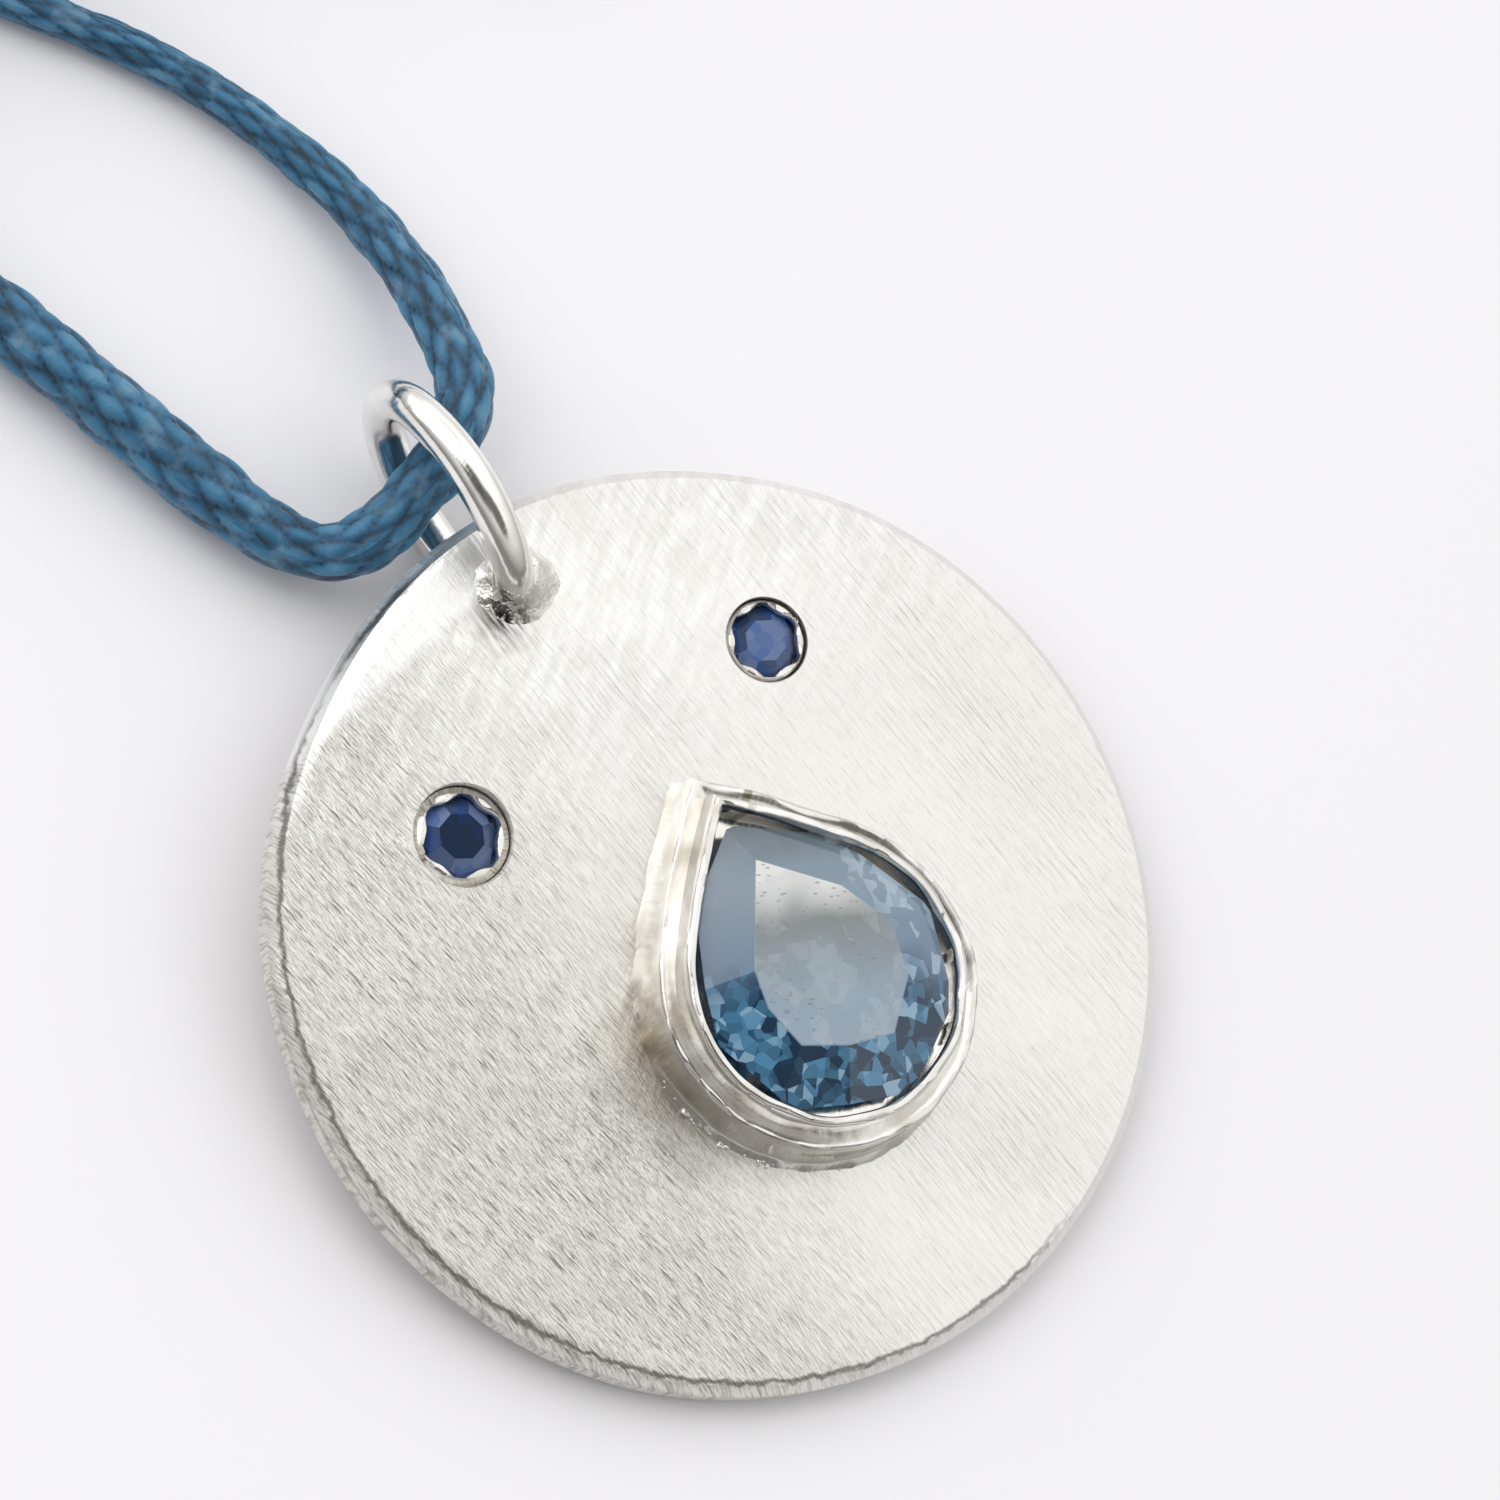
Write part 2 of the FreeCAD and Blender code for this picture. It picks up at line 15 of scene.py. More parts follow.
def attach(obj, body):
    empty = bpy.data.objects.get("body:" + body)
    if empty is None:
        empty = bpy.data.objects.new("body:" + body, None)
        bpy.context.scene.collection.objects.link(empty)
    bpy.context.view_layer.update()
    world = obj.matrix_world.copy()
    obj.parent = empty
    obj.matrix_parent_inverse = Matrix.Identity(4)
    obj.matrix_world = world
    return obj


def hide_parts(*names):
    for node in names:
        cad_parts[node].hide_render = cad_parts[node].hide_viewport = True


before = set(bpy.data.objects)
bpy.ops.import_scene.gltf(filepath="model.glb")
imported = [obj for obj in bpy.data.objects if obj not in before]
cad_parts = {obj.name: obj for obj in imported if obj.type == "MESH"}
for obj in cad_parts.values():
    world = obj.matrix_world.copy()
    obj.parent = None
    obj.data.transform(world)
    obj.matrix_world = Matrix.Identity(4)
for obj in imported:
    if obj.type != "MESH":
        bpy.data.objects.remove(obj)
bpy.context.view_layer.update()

MM = 0.001

# %% [markdown]
# The camera looks down on the pendant from its left at about 65 degrees, and it is rolled so that the
# bail ring points up and to the left. A long lens from a quarter of a metre keeps the disc almost free
# of perspective.

# %% Camera
CAMERA_HEADING = math.radians(79.675)
CAMERA_HEIGHT = math.radians(65.285)
CAMERA_ROLL = math.radians(46.833)
CAMERA_DISTANCE = 242.25
CAMERA_AIM = Vector((4.08, 1.49, 2.0))
CAMERA_LENS = 195.25


def add_camera():
    flat = math.cos(CAMERA_HEIGHT)
    down = math.sin(CAMERA_HEIGHT)
    look = Vector((math.sin(CAMERA_HEADING) * flat, math.cos(CAMERA_HEADING) * flat, -down))
    data = bpy.data.cameras.new("camera")
    data.lens = CAMERA_LENS
    data.sensor_width = 36
    data.clip_start = 0.01
    data.clip_end = 10
    camera = bpy.data.objects.new("camera", data)
    turn = look.to_track_quat("-Z", "Y").to_matrix() @ Matrix.Rotation(CAMERA_ROLL, 3, "Z")
    place = (CAMERA_AIM - look * CAMERA_DISTANCE) * MM
    camera.matrix_world = Matrix.Translation(place) @ turn.to_4x4()
    bpy.context.scene.collection.objects.link(camera)
    bpy.context.scene.camera = camera
    return camera


camera = add_camera()
print("camera at, mm:", [round(v / MM, 1) for v in camera.location])

# %% [markdown]
# A few helpers serve every piece. The pendant is drawn in its own frame, with the middle of the disc's
# face as the origin and +Y towards the bail ring. PENDANT leans it back on its ring and its lower rim.

# %% Placing pieces
LEAN = math.radians(4.856)
FACE_MIDDLE = Vector((0, -2.492, 2.364))
PENDANT = Matrix.Scale(MM, 4) @ Matrix.Translation(FACE_MIDDLE) @ Matrix.Rotation(LEAN, 4, "X")
TABLE = Matrix.Scale(MM, 4)


def mark_sharp(bm, degrees):
    """Faces are smooth, and an edge that turns more than this is kept crisp."""
    for face in bm.faces:
        face.smooth = True
    for edge in bm.edges:
        edge.smooth = len(edge.link_faces) == 2 and edge.calc_face_angle(0) < math.radians(degrees)


def new_object(name, data):
    """An object in the scene. A bmesh is turned into its mesh first and freed."""
    if isinstance(data, bmesh.types.BMesh):
        bm, data = data, bpy.data.meshes.new(name)
        bm.to_mesh(data)
        bm.free()
    made = bpy.data.objects.new(name, data)
    bpy.context.scene.collection.objects.link(made)
    return made


def finish_piece(bm, name, body, material, stands_for=(), place=PENDANT, crisp=35):
    bmesh.ops.recalc_face_normals(bm, faces=bm.faces)
    mark_sharp(bm, crisp)
    bmesh.ops.transform(bm, matrix=place, verts=bm.verts)
    piece = new_object(name, bm)
    piece.data.materials.append(material)
    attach(piece, body)
    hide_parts(*stands_for)
    print(name, "faces", len(piece.data.polygons), "size, mm", [round(v / MM, 2) for v in piece.dimensions])
    return piece


def spin_profile(profile, steps):
    """A bmesh made by turning (radius, height) points about Z. Poles are merged."""
    bm = bmesh.new()
    corners = [bm.verts.new((radius, 0, height)) for radius, height in profile]
    edges = [bm.edges.new(pair) for pair in zip(corners, corners[1:])]
    bmesh.ops.spin(bm, geom=corners + edges, cent=(0, 0, 0), axis=(0, 0, 1), angle=2 * math.pi,
                   steps=steps, use_merge=True)
    bmesh.ops.remove_doubles(bm, verts=bm.verts, dist=1e-4)
    return bm


# %% [markdown]
# Colours are written as sRGB hex and turned to linear by one function. One function adds a shader node.
# Patterns are drawn in millimetres: a Mapping node turns Object coordinates into the pendant's frame.

# %% Colours and nodes
def colour(text):
    """Linear red, green, blue and alpha of an sRGB hex colour."""
    parts = [int(text[i:i + 2], 16) / 255 for i in (0, 2, 4)]
    return [v / 12.92 if v <= 0.04045 else ((v + 0.055) / 1.055) ** 2.4 for v in parts] + [1.0]


def add(tree, kind, inputs=(), **settings):
    """Add a shader node with its settings. Its inputs are given in order, or by name in a dictionary: a
    node or a socket is linked, and anything else is set."""
    made = tree.nodes.new("ShaderNode" + kind)
    for name, value in settings.items():
        setattr(made, name, value)
    for name, value in inputs.items() if isinstance(inputs, dict) else enumerate(inputs):
        if isinstance(value, bpy.types.Node):
            value = next(output for output in value.outputs if output.enabled)
        if isinstance(value, bpy.types.NodeSocket):
            tree.links.new(value, made.inputs[name])
        else:
            made.inputs[name].default_value = value
    return made


def new_material(name):
    """A material, and its empty tree to build in."""
    material = bpy.data.materials.new(name)
    material.use_nodes = True
    material.node_tree.nodes.clear()
    return material, material.node_tree


def surface(tree, looks, relief=None, strength=0.0, depth=0.0):
    """A shader with its looks, on a relief whose depth is in millimetres, and the output."""
    if relief is not None:
        looks["Normal"] = add(tree, "Bump", {"Height": relief, "Strength": strength, "Distance": depth * MM})
    add(tree, "OutputMaterial", [add(tree, "BsdfPrincipled", looks)])


def where_all(tree, first, *shares):
    """Several shares multiplied. The result is full only where all of them are."""
    for share in shares:
        first = add(tree, "Math", [first, share], operation="MULTIPLY")
    return first


def coats(tree, tone, *layers):
    """Coats of colour, one over another. Each has its share and its shade, a socket or sRGB hex."""
    for share, shade in layers:
        under, over = (colour(v) if isinstance(v, str) else v for v in (tone, shade))
        tone = add(tree, "Mix", {0: share, 6: under, 7: over}, data_type="RGBA")
    return tone


def pendant_mm(tree):
    """Object coordinates in the pendant's own frame, in millimetres."""
    place = add(tree, "TexCoord").outputs["Object"]
    moved = add(tree, "VectorMath", [place, FACE_MIDDLE * MM], operation="SUBTRACT")
    turned = add(tree, "Mapping", {"Vector": moved, "Rotation": (-LEAN, 0, 0)})
    return add(tree, "VectorMath", {0: turned, "Scale": 1 / MM}, operation="SCALE")


def streaks(tree, place, degrees, length, width, detail=2.0, shift=0.0):
    """Noise drawn out along one direction of the face, in strokes of this length and width in mm."""
    turned = add(tree, "Mapping", {
        "Vector": place, "Location": (shift, shift, 0), "Rotation": (0, 0, math.radians(degrees)),
        "Scale": (length, width, 1.0)}, vector_type="TEXTURE")
    return add(tree, "TexNoise", {"Vector": turned, "Scale": 1.0, "Detail": detail, "Roughness": 0.6})


def uneven(tree, value, noise_node, depth):
    """A value with this much noise on it, half up and half down."""
    swing = where_all(tree, add(tree, "Math", [noise_node, 0.5], operation="SUBTRACT"), depth)
    return add(tree, "Math", [value, swing], operation="ADD")


def near(tree, place, x, y, reach, soft=1.0):
    """1 at a spot of the face and 0 beyond reach, with an edge that noise makes uneven."""
    away = add(tree, "VectorMath", [place, (x, y, 0)], operation="DISTANCE")
    rough = add(tree, "TexNoise", {"Vector": place, "Scale": 0.9, "Detail": 3.0})
    return add(tree, "MapRange", [uneven(tree, away, rough, reach * 0.9), reach * (1 - soft), reach, 1.0, 0.0])


print("colours and nodes ready")

# %% [markdown]
# The cord is a 2 mm round braid, waxed and dyed. It goes up through the bail ring and both strands
# leave for the neck. The length that is put away is wound as two strands side by side in a neat coil.
# One NURBS spline is its line: the route's points are its control points, and the coil's turns come
# from a loop. The braid is then a tube laid along that line.

# %% Cord route
CORD_RADIUS = 1.0
COIL_MIDDLE = Vector((-2.6, 49.1, 0))
COIL_STEPS = 16                       # points to a turn
LEFT_TURN = {"radius": 12.0, "start": 194.5, "end": 60.0}
RIGHT_TURN = {"radius": 10.0, "start": 218.0, "end": 30.0}
COIL_TURNS = 2                        # whole turns besides the part turn
COIL_RISE = 2.0                       # height gained by one turn

LEFT_TAIL = [
    (15.5, 42.4, 1.45), (15.5, 47.2, 1.45), (14.2, 51.9, 1.9), (11.3, 55.1, 3.9), (7.4, 57.2, 5.75),
]
ROUTE = [
    (-12.55, 39.7, 1.1), (-10.75, 33.2, 1.1), (-8.7, 26.4, 1.1), (-6.6, 20.4, 1.1), (-5.65, 17.3, 1.12),
    (-4.75, 14.6, 1.25), (-3.65, 12.9, 1.65), (-2.0, 12.6, 2.6), (2.3, 14.2, 3.2), (3.4, 17.4, 2.2),
    (3.8, 20.4, 1.25), (3.2, 23.9, 0.9), (1.65, 27.8, 0.75), (-0.75, 31.2, 0.7), (-4.0, 34.95, 0.75),
    (-7.65, 39.32, 0.95),
]
RIGHT_TAIL = [
    (8.3, 50.3, 6.25), (10.0, 47.2, 6.5), (11.2, 44.7, 4.3), (10.5, 42.4, 1.45), (10.5, 38.2, 1.45),
]


def coil_points(turn):
    """Control points of one strand in the coil, from the table up. They stand a little outside its line."""
    sweep = turn["start"] - turn["end"] + 360 * COIL_TURNS
    count = round(sweep / 360 * COIL_STEPS)
    bulge = 1 / math.cos(math.radians(sweep / count / 2)) ** 0.5
    points = []
    for index in range(count + 1):
        share = index / count
        angle = math.radians(turn["start"] - sweep * share)
        reach = turn["radius"] * bulge
        height = CORD_RADIUS + COIL_RISE * sweep / 360 * share
        spot = COIL_MIDDLE + Vector((math.cos(angle), math.sin(angle), 0)) * reach
        points.append((spot.x, spot.y, height))
    return points


cord_points = LEFT_TAIL + coil_points(LEFT_TURN)[::-1] + ROUTE + coil_points(RIGHT_TURN) + RIGHT_TAIL
print("cord control points:", len(cord_points))


# %% Cord centreline
def smooth_line(points, name, steps):
    """Points along an open NURBS spline of order 3 through these control points, in metres."""
    data = bpy.data.curves.new(name, "CURVE")
    data.dimensions = "3D"
    data.resolution_u = steps
    spline = data.splines.new("NURBS")
    spline.points.add(len(points) - 1)
    for control, place in zip(spline.points, points):
        control.co = (*(Vector(place) * MM), 1)
    spline.order_u = 3
    spline.use_endpoint_u = True
    carrier = new_object(name, data)
    bpy.context.view_layer.update()
    mesh = bpy.data.meshes.new_from_object(carrier)
    line = [v.co.copy() for v in mesh.vertices]
    bpy.data.objects.remove(carrier)
    bpy.data.meshes.remove(mesh)
    return line


def line_length(line):
    return sum((b - a).length for a, b in zip(line, line[1:]))


cord_line = smooth_line(cord_points, "cord_line", 24)
cord_length = line_length(cord_line)
print("cord length, mm:", round(cord_length / MM, 1))


# %% [markdown]
# A braid is two sets of yarns that wind round the cord in opposite ways and pass over and under each
# other. Two slanted coordinates number the yarns. Where they cross, a checkerboard says which one is on
# top, and it swells up there as a long bump. No two bumps are pulled equally tight, so each gets its own
# height. Small dark holes are left between them.

# %% Braided tube
YARNS = 8                  # yarns each way round
BRAID_PITCH = 1.0          # length of one bump along the cord
BRAID_DEPTH = 0.2          # height of a bump
CORD_SIDES = 56
FINE_STEP = 0.09           # between rings where the cord is seen close
COARSE_STEP = 0.36         # between rings in the coil
CLOSE_REACH = 25.0         # from the bail ring
THIN_FROM, THIN_TO = 3.0, 17.0      # past the ring, the strand that is pulled tight gets thinner


def braid_height(around, along):
    """Height of the braid's surface from 0 in the holes to 1 on the yarns."""
    first = around * YARNS + along / (BRAID_PITCH * 2)
    second = around * YARNS - along / (BRAID_PITCH * 2)
    over = (math.floor(first) + math.floor(second)) % 2
    across, lengthwise = (first, second) if over else (second, first)
    own = noise.cell(Vector((math.floor(first) + 0.5, math.floor(second) + 0.5, 0.5)))
    round_part = math.sin(math.pi * (across % 1.0))
    long_part = math.sin(math.pi * (lengthwise % 1.0))
    return round_part ** 0.6 * (0.35 + 0.65 * long_part ** 0.8) * (0.7 + 0.3 * own)


def cord_frames(line, near):
    """Evenly walked rings: place, direction and side vectors that never twist, and the length so far."""
    rings = []
    side = None
    walked = 0.0
    next_at = 0.0
    for start, end in zip(line, line[1:]):
        span = (end - start).length
        direction = (end - start).normalized()
        while next_at <= walked + span:
            place = start + direction * (next_at - walked)
            side = direction.orthogonal() if side is None else side - direction * side.dot(direction)
            side.normalize()
            rings.append((place, direction, side.copy(), next_at))
            close = (place - near).length < CLOSE_REACH * MM
            next_at += (FINE_STEP if close else COARSE_STEP) * MM
        walked += span
    return rings


def ease(value, low, high):
    """0 below low, 1 above high and a smooth step between."""
    share = min(max((value - low) / (high - low), 0.0), 1.0)
    return share * share * (3 - 2 * share)


def cord_swell(walked, ring_at):
    """The cord's radius: full and loose before the ring, pulled thin after it, full again in the coil."""
    past = walked - ring_at
    loose = 1.14 - 0.15 * ease(past, -9.0, -4.0) - 0.04 * ease(past, -3.0, 3.0)
    thin = 0.28 * ease(past, THIN_FROM, THIN_TO) * (1 - ease(past, 26, 34))
    back_to_full = 0.05 * ease(past, 26, 34) - 0.15 * ease(-past, 34, 42)
    return CORD_RADIUS * (loose - thin + back_to_full) * (1 + 0.02 * math.sin(walked * 2.1))


def build_cord(line):
    bail = Vector((0, 13.34, 2.9)) * MM
    rings = cord_frames(line, bail)
    ring_at = min(rings, key=lambda ring: (ring[0] - bail).length)[3] / MM
    bm = bmesh.new()
    bmesh.ops.create_grid(bm, x_segments=len(rings) - 1, y_segments=CORD_SIDES, size=0.5)
    layer = bm.verts.layers.float.new("braid")
    uv = bm.loops.layers.uv.new("UVMap")
    spots = {}
    for vert in bm.verts:
        spots[vert] = (round((vert.co.x + 0.5) * (len(rings) - 1)), (vert.co.y + 0.5) * CORD_SIDES)
    for face in bm.faces:
        for loop in face.loops:
            index, step = spots[loop.vert]
            loop[uv].uv = (step / CORD_SIDES, rings[index][3] / MM)
    for vert, (index, step) in spots.items():
        place, direction, side, walked = rings[index]
        around = step / CORD_SIDES
        turn = around * 2 * math.pi
        height = braid_height(around, walked / MM)
        radius = cord_swell(walked / MM, ring_at)
        radius -= BRAID_DEPTH * (1 - height) * min(radius, 1.0)
        out = side * math.cos(turn) + direction.cross(side) * math.sin(turn)
        vert.co = (place / MM) + out * radius
        vert[layer] = height
    bmesh.ops.remove_doubles(bm, verts=bm.verts, dist=0.01)
    ends = [edge for edge in bm.edges if edge.is_boundary]
    bmesh.ops.holes_fill(bm, edges=ends, sides=0)
    return bm


# %% [markdown]
# The dye is a deep sea blue, and wax fills the braid a little. The tops of the yarns are painted lighter,
# as lit, with patches of painted grey sheen, and the holes between them are painted almost black, as
# shade. Fine threads run along each yarn.

# %% Cord material
def braided_cord_material():
    material, tree = new_material("waxed_blue_braid")
    height = add(tree, "Attribute", attribute_name="braid").outputs["Fac"]
    uv = add(tree, "UVMap", uv_map="UVMap")
    place = add(tree, "TexCoord").outputs["Object"]
    patches = add(tree, "TexNoise", {"Vector": place, "Scale": 1100.0, "Detail": 3.0})
    drawn_out = add(tree, "Mapping", {"Vector": uv, "Scale": (36.0, 7.0, 1.0)})
    threads = add(tree, "TexNoise", {"Vector": drawn_out, "Scale": 1.0, "Detail": 3.0, "Roughness": 0.65})
    lit_height = uneven(tree, height, patches, 0.9)
    # painted light and shade: the yarn tops lighter as lit, the holes almost black as shade, and grey patches of
    # painted sheen
    tone = coats(tree, "103449",
                 (add(tree, "MapRange", [lit_height, 0.05, 0.5]), "2A6A90"),
                 (add(tree, "MapRange", [lit_height, 0.45, 1.0, 0.0, 0.9]), "5290B2"),
                 (add(tree, "MapRange", [patches, 0.54, 0.7, 0.0, 0.3]), "8AA2B4"))
    surface(tree, {
        "Base Color": tone, "Roughness": add(tree, "MapRange", [threads, 0.3, 0.7, 0.38, 0.6]),
        "Sheen Weight": 0.35, "Sheen Roughness": 0.4, "Sheen Tint": colour("C9D4E0")}, threads, 0.6, 0.06)
    return material


cord = finish_piece(build_cord(cord_line), "braided_cord", "cord", braided_cord_material(),
                    ["neck_cord", "cord_coil", "cord_tail_left", "cord_tail_right"], TABLE, crisp=80)
list(cord_line[0])
[list(p) for p in cord_line]

# %% [markdown]
# The disc is silver sheet that was sawn out and filed by hand. A profile of its face, bevel and back is
# turned about its axis. Then its outline is pulled a little out of round, its bevel is widened where
# the file bit deeper, and its face is given the low swells that hammering and sanding leave.

# %% Disc shape
DISC_RADIUS = 14.0
DISC_THICKNESS = 1.2
FRONT_BEVEL = 0.3
BACK_BEVEL = 0.2
DISC_STEPS = 288
RIM_RINGS = 14
FACE_RINGS = 26
RIM_BAND = 1.5             # width of the rim that gets closer rings


def disc_profile():
    inner = DISC_RADIUS - RIM_BAND
    face = [(inner * i / FACE_RINGS, 0.0) for i in range(FACE_RINGS)]
    rim = [(inner + (RIM_BAND - FRONT_BEVEL) * i / RIM_RINGS, 0.0) for i in range(RIM_RINGS + 1)]
    bevel = [(DISC_RADIUS - FRONT_BEVEL * (1 - s), -FRONT_BEVEL * s) for s in (0.33, 0.66, 1.0)]
    side = [(DISC_RADIUS, -FRONT_BEVEL - (DISC_THICKNESS - FRONT_BEVEL - BACK_BEVEL) * s) for s in (0.5, 1.0)]
    back = [(DISC_RADIUS - BACK_BEVEL, -DISC_THICKNESS), (inner, -DISC_THICKNESS), (0.0, -DISC_THICKNESS)]
    return face + rim + bevel + side + back


def hump(angle, middle, half):
    """1 at an angle in degrees, falling smoothly to 0 at half degrees to each side."""
    away = abs((angle - middle + 180) % 360 - 180) / half
    return 0.5 + 0.5 * math.cos(math.pi * away) if away < 1 else 0.0


def shape_disc(bm):
    for vert in bm.verts:
        radius = math.hypot(vert.co.x, vert.co.y)
        angle = math.degrees(math.atan2(vert.co.y, vert.co.x))
        share = min(radius / DISC_RADIUS, 1.0)
        front = vert.co.z > -DISC_THICKNESS * 0.6
        around = Vector((math.cos(math.radians(angle)), math.sin(math.radians(angle)), 0))
        # out of round: a filed flat left of the ring and slow ripples elsewhere
        ripple = 0.05 * noise.noise(around * 2.2 + Vector((0, 0, 5)))
        cut = 0.32 * hump(angle, 122, 34) + 0.1 * hump(angle, 60, 30) - ripple
        pull = 1 - (cut + 0.02) * share ** 6 / DISC_RADIUS
        vert.co.x *= pull
        vert.co.y *= pull
        if radius > DISC_RADIUS - 0.35 and -DISC_THICKNESS + 0.05 < vert.co.z < -0.05:
            # the edge was filed thin left of the ring, so its side stands lower there
            lowest = -DISC_THICKNESS + 0.06 - 0.1 * (radius < DISC_RADIUS)
            vert.co.z = max(vert.co.z - 0.3 * hump(angle, 118, 40), lowest)
        if not front:
            continue
        # wider, lower bevel where the file went over the edge again
        nick = noise.noise(around * 9 + Vector((0, 0, 2))) + 0.5 * noise.noise(around * 30)
        facet = 0.55 * hump(angle, 115, 34) + 0.26 * hump(angle, 160, 24) + 0.3 * hump(angle, 212, 48)
        facet += 0.09 * nick * (0.4 + hump(angle, 190, 90))
        start = DISC_RADIUS - FRONT_BEVEL - facet
        if radius > start and facet > 0.02:
            over = min((radius - start) / (facet + FRONT_BEVEL), 1.0)
            deep = 0.24 * hump(angle, 115, 36) + 0.12 * hump(angle, 200, 60) + 0.04 * (1 + nick)
            vert.co.z -= over ** 1.2 * deep
        swell = noise.noise(Vector((vert.co.x * 0.16, vert.co.y * 0.16, 0.0))) * 0.16
        swell += noise.noise(Vector((vert.co.x * 0.5, vert.co.y * 0.5, 3.0))) * 0.03
        vert.co.z += (swell - 0.03) * (1 - share ** 8)


# %% Disc holes
LEFT_EYE = {"x": -5.47, "y": 6.24, "hole": 1.53, "aperture": 1.15}
RIGHT_EYE = {"x": 6.18, "y": 6.47, "hole": 1.3, "aperture": 1.03}
BAIL_HOLE_Y = 11.6
BAIL_HOLE_RADIUS = 0.765


def cut_hole(piece, x, y, radius, flare):
    """Drill one hole through a mesh object. Its mouth is flared a little."""
    mouth = radius + flare
    profile = [(0, 1.0), (mouth + 0.9, 1.0), (mouth, 0.02), (radius, -flare), (radius, -3), (0, -3)]
    tool_bm = spin_profile(profile, 72)
    bmesh.ops.recalc_face_normals(tool_bm, faces=tool_bm.faces)
    bmesh.ops.translate(tool_bm, verts=tool_bm.verts, vec=(x, y, 0))
    tool = new_object("drill", tool_bm)
    cutter = piece.modifiers.new("drill", "BOOLEAN")
    cutter.operation = "DIFFERENCE"
    cutter.solver = "EXACT"
    cutter.object = tool
    bpy.context.view_layer.update()
    cut = bpy.data.meshes.new_from_object(piece.evaluated_get(bpy.context.evaluated_depsgraph_get()))
    piece.modifiers.clear()
    piece.data = cut
    bpy.data.objects.remove(tool)


def build_disc():
    bm = spin_profile(disc_profile(), DISC_STEPS)
    shape_disc(bm)
    bmesh.ops.recalc_face_normals(bm, faces=bm.faces)
    blank = new_object("disc_blank", bm)
    for eye in (LEFT_EYE, RIGHT_EYE):
        cut_hole(blank, eye["x"], eye["y"], eye["hole"], 0.07)
    cut_hole(blank, 0, BAIL_HOLE_Y, BAIL_HOLE_RADIUS, 0.03)
    bm = bmesh.new()
    bm.from_mesh(blank.data)
    bpy.data.objects.remove(blank)
    return bm


# %% [markdown]
# Sanded silver is a metal with a fine grain of short scratches. They run down the disc, and each stroke
# turned a little, so three layers of drawn out noise lie a few degrees apart. Most strokes are grey, and
# where the fine and the coarse layer meet a few go deep and dark. The strokes are fewer on the right, and
# the silver is painted brighter there and at the top, as reflected light; beside the pear setting it is
# painted darker, as the setting's shade. The rim carries a filed facet left of the ring, painted bright
# as a highlight, and a thin chipped line round the left.

# %% Sanded silver
SETTING_SHADE_SPOT = (-3.3, -3.4, 3.4)              # x, y and reach of marks on the face, and how soft they end
FOOT_DIRT = (-0.8, 11.1, 1.25, 0.8)
FACET_TOWARD = (-0.191, 0.981, 0)           # direction of the filed facet, and how far out it starts
FACET_FROM = 11.8
CHIPPED_TOWARD = (-0.978, -0.208, 0)        # middle of the chipped line, and its distance from the centre
CHIPPED_AT = 13.58


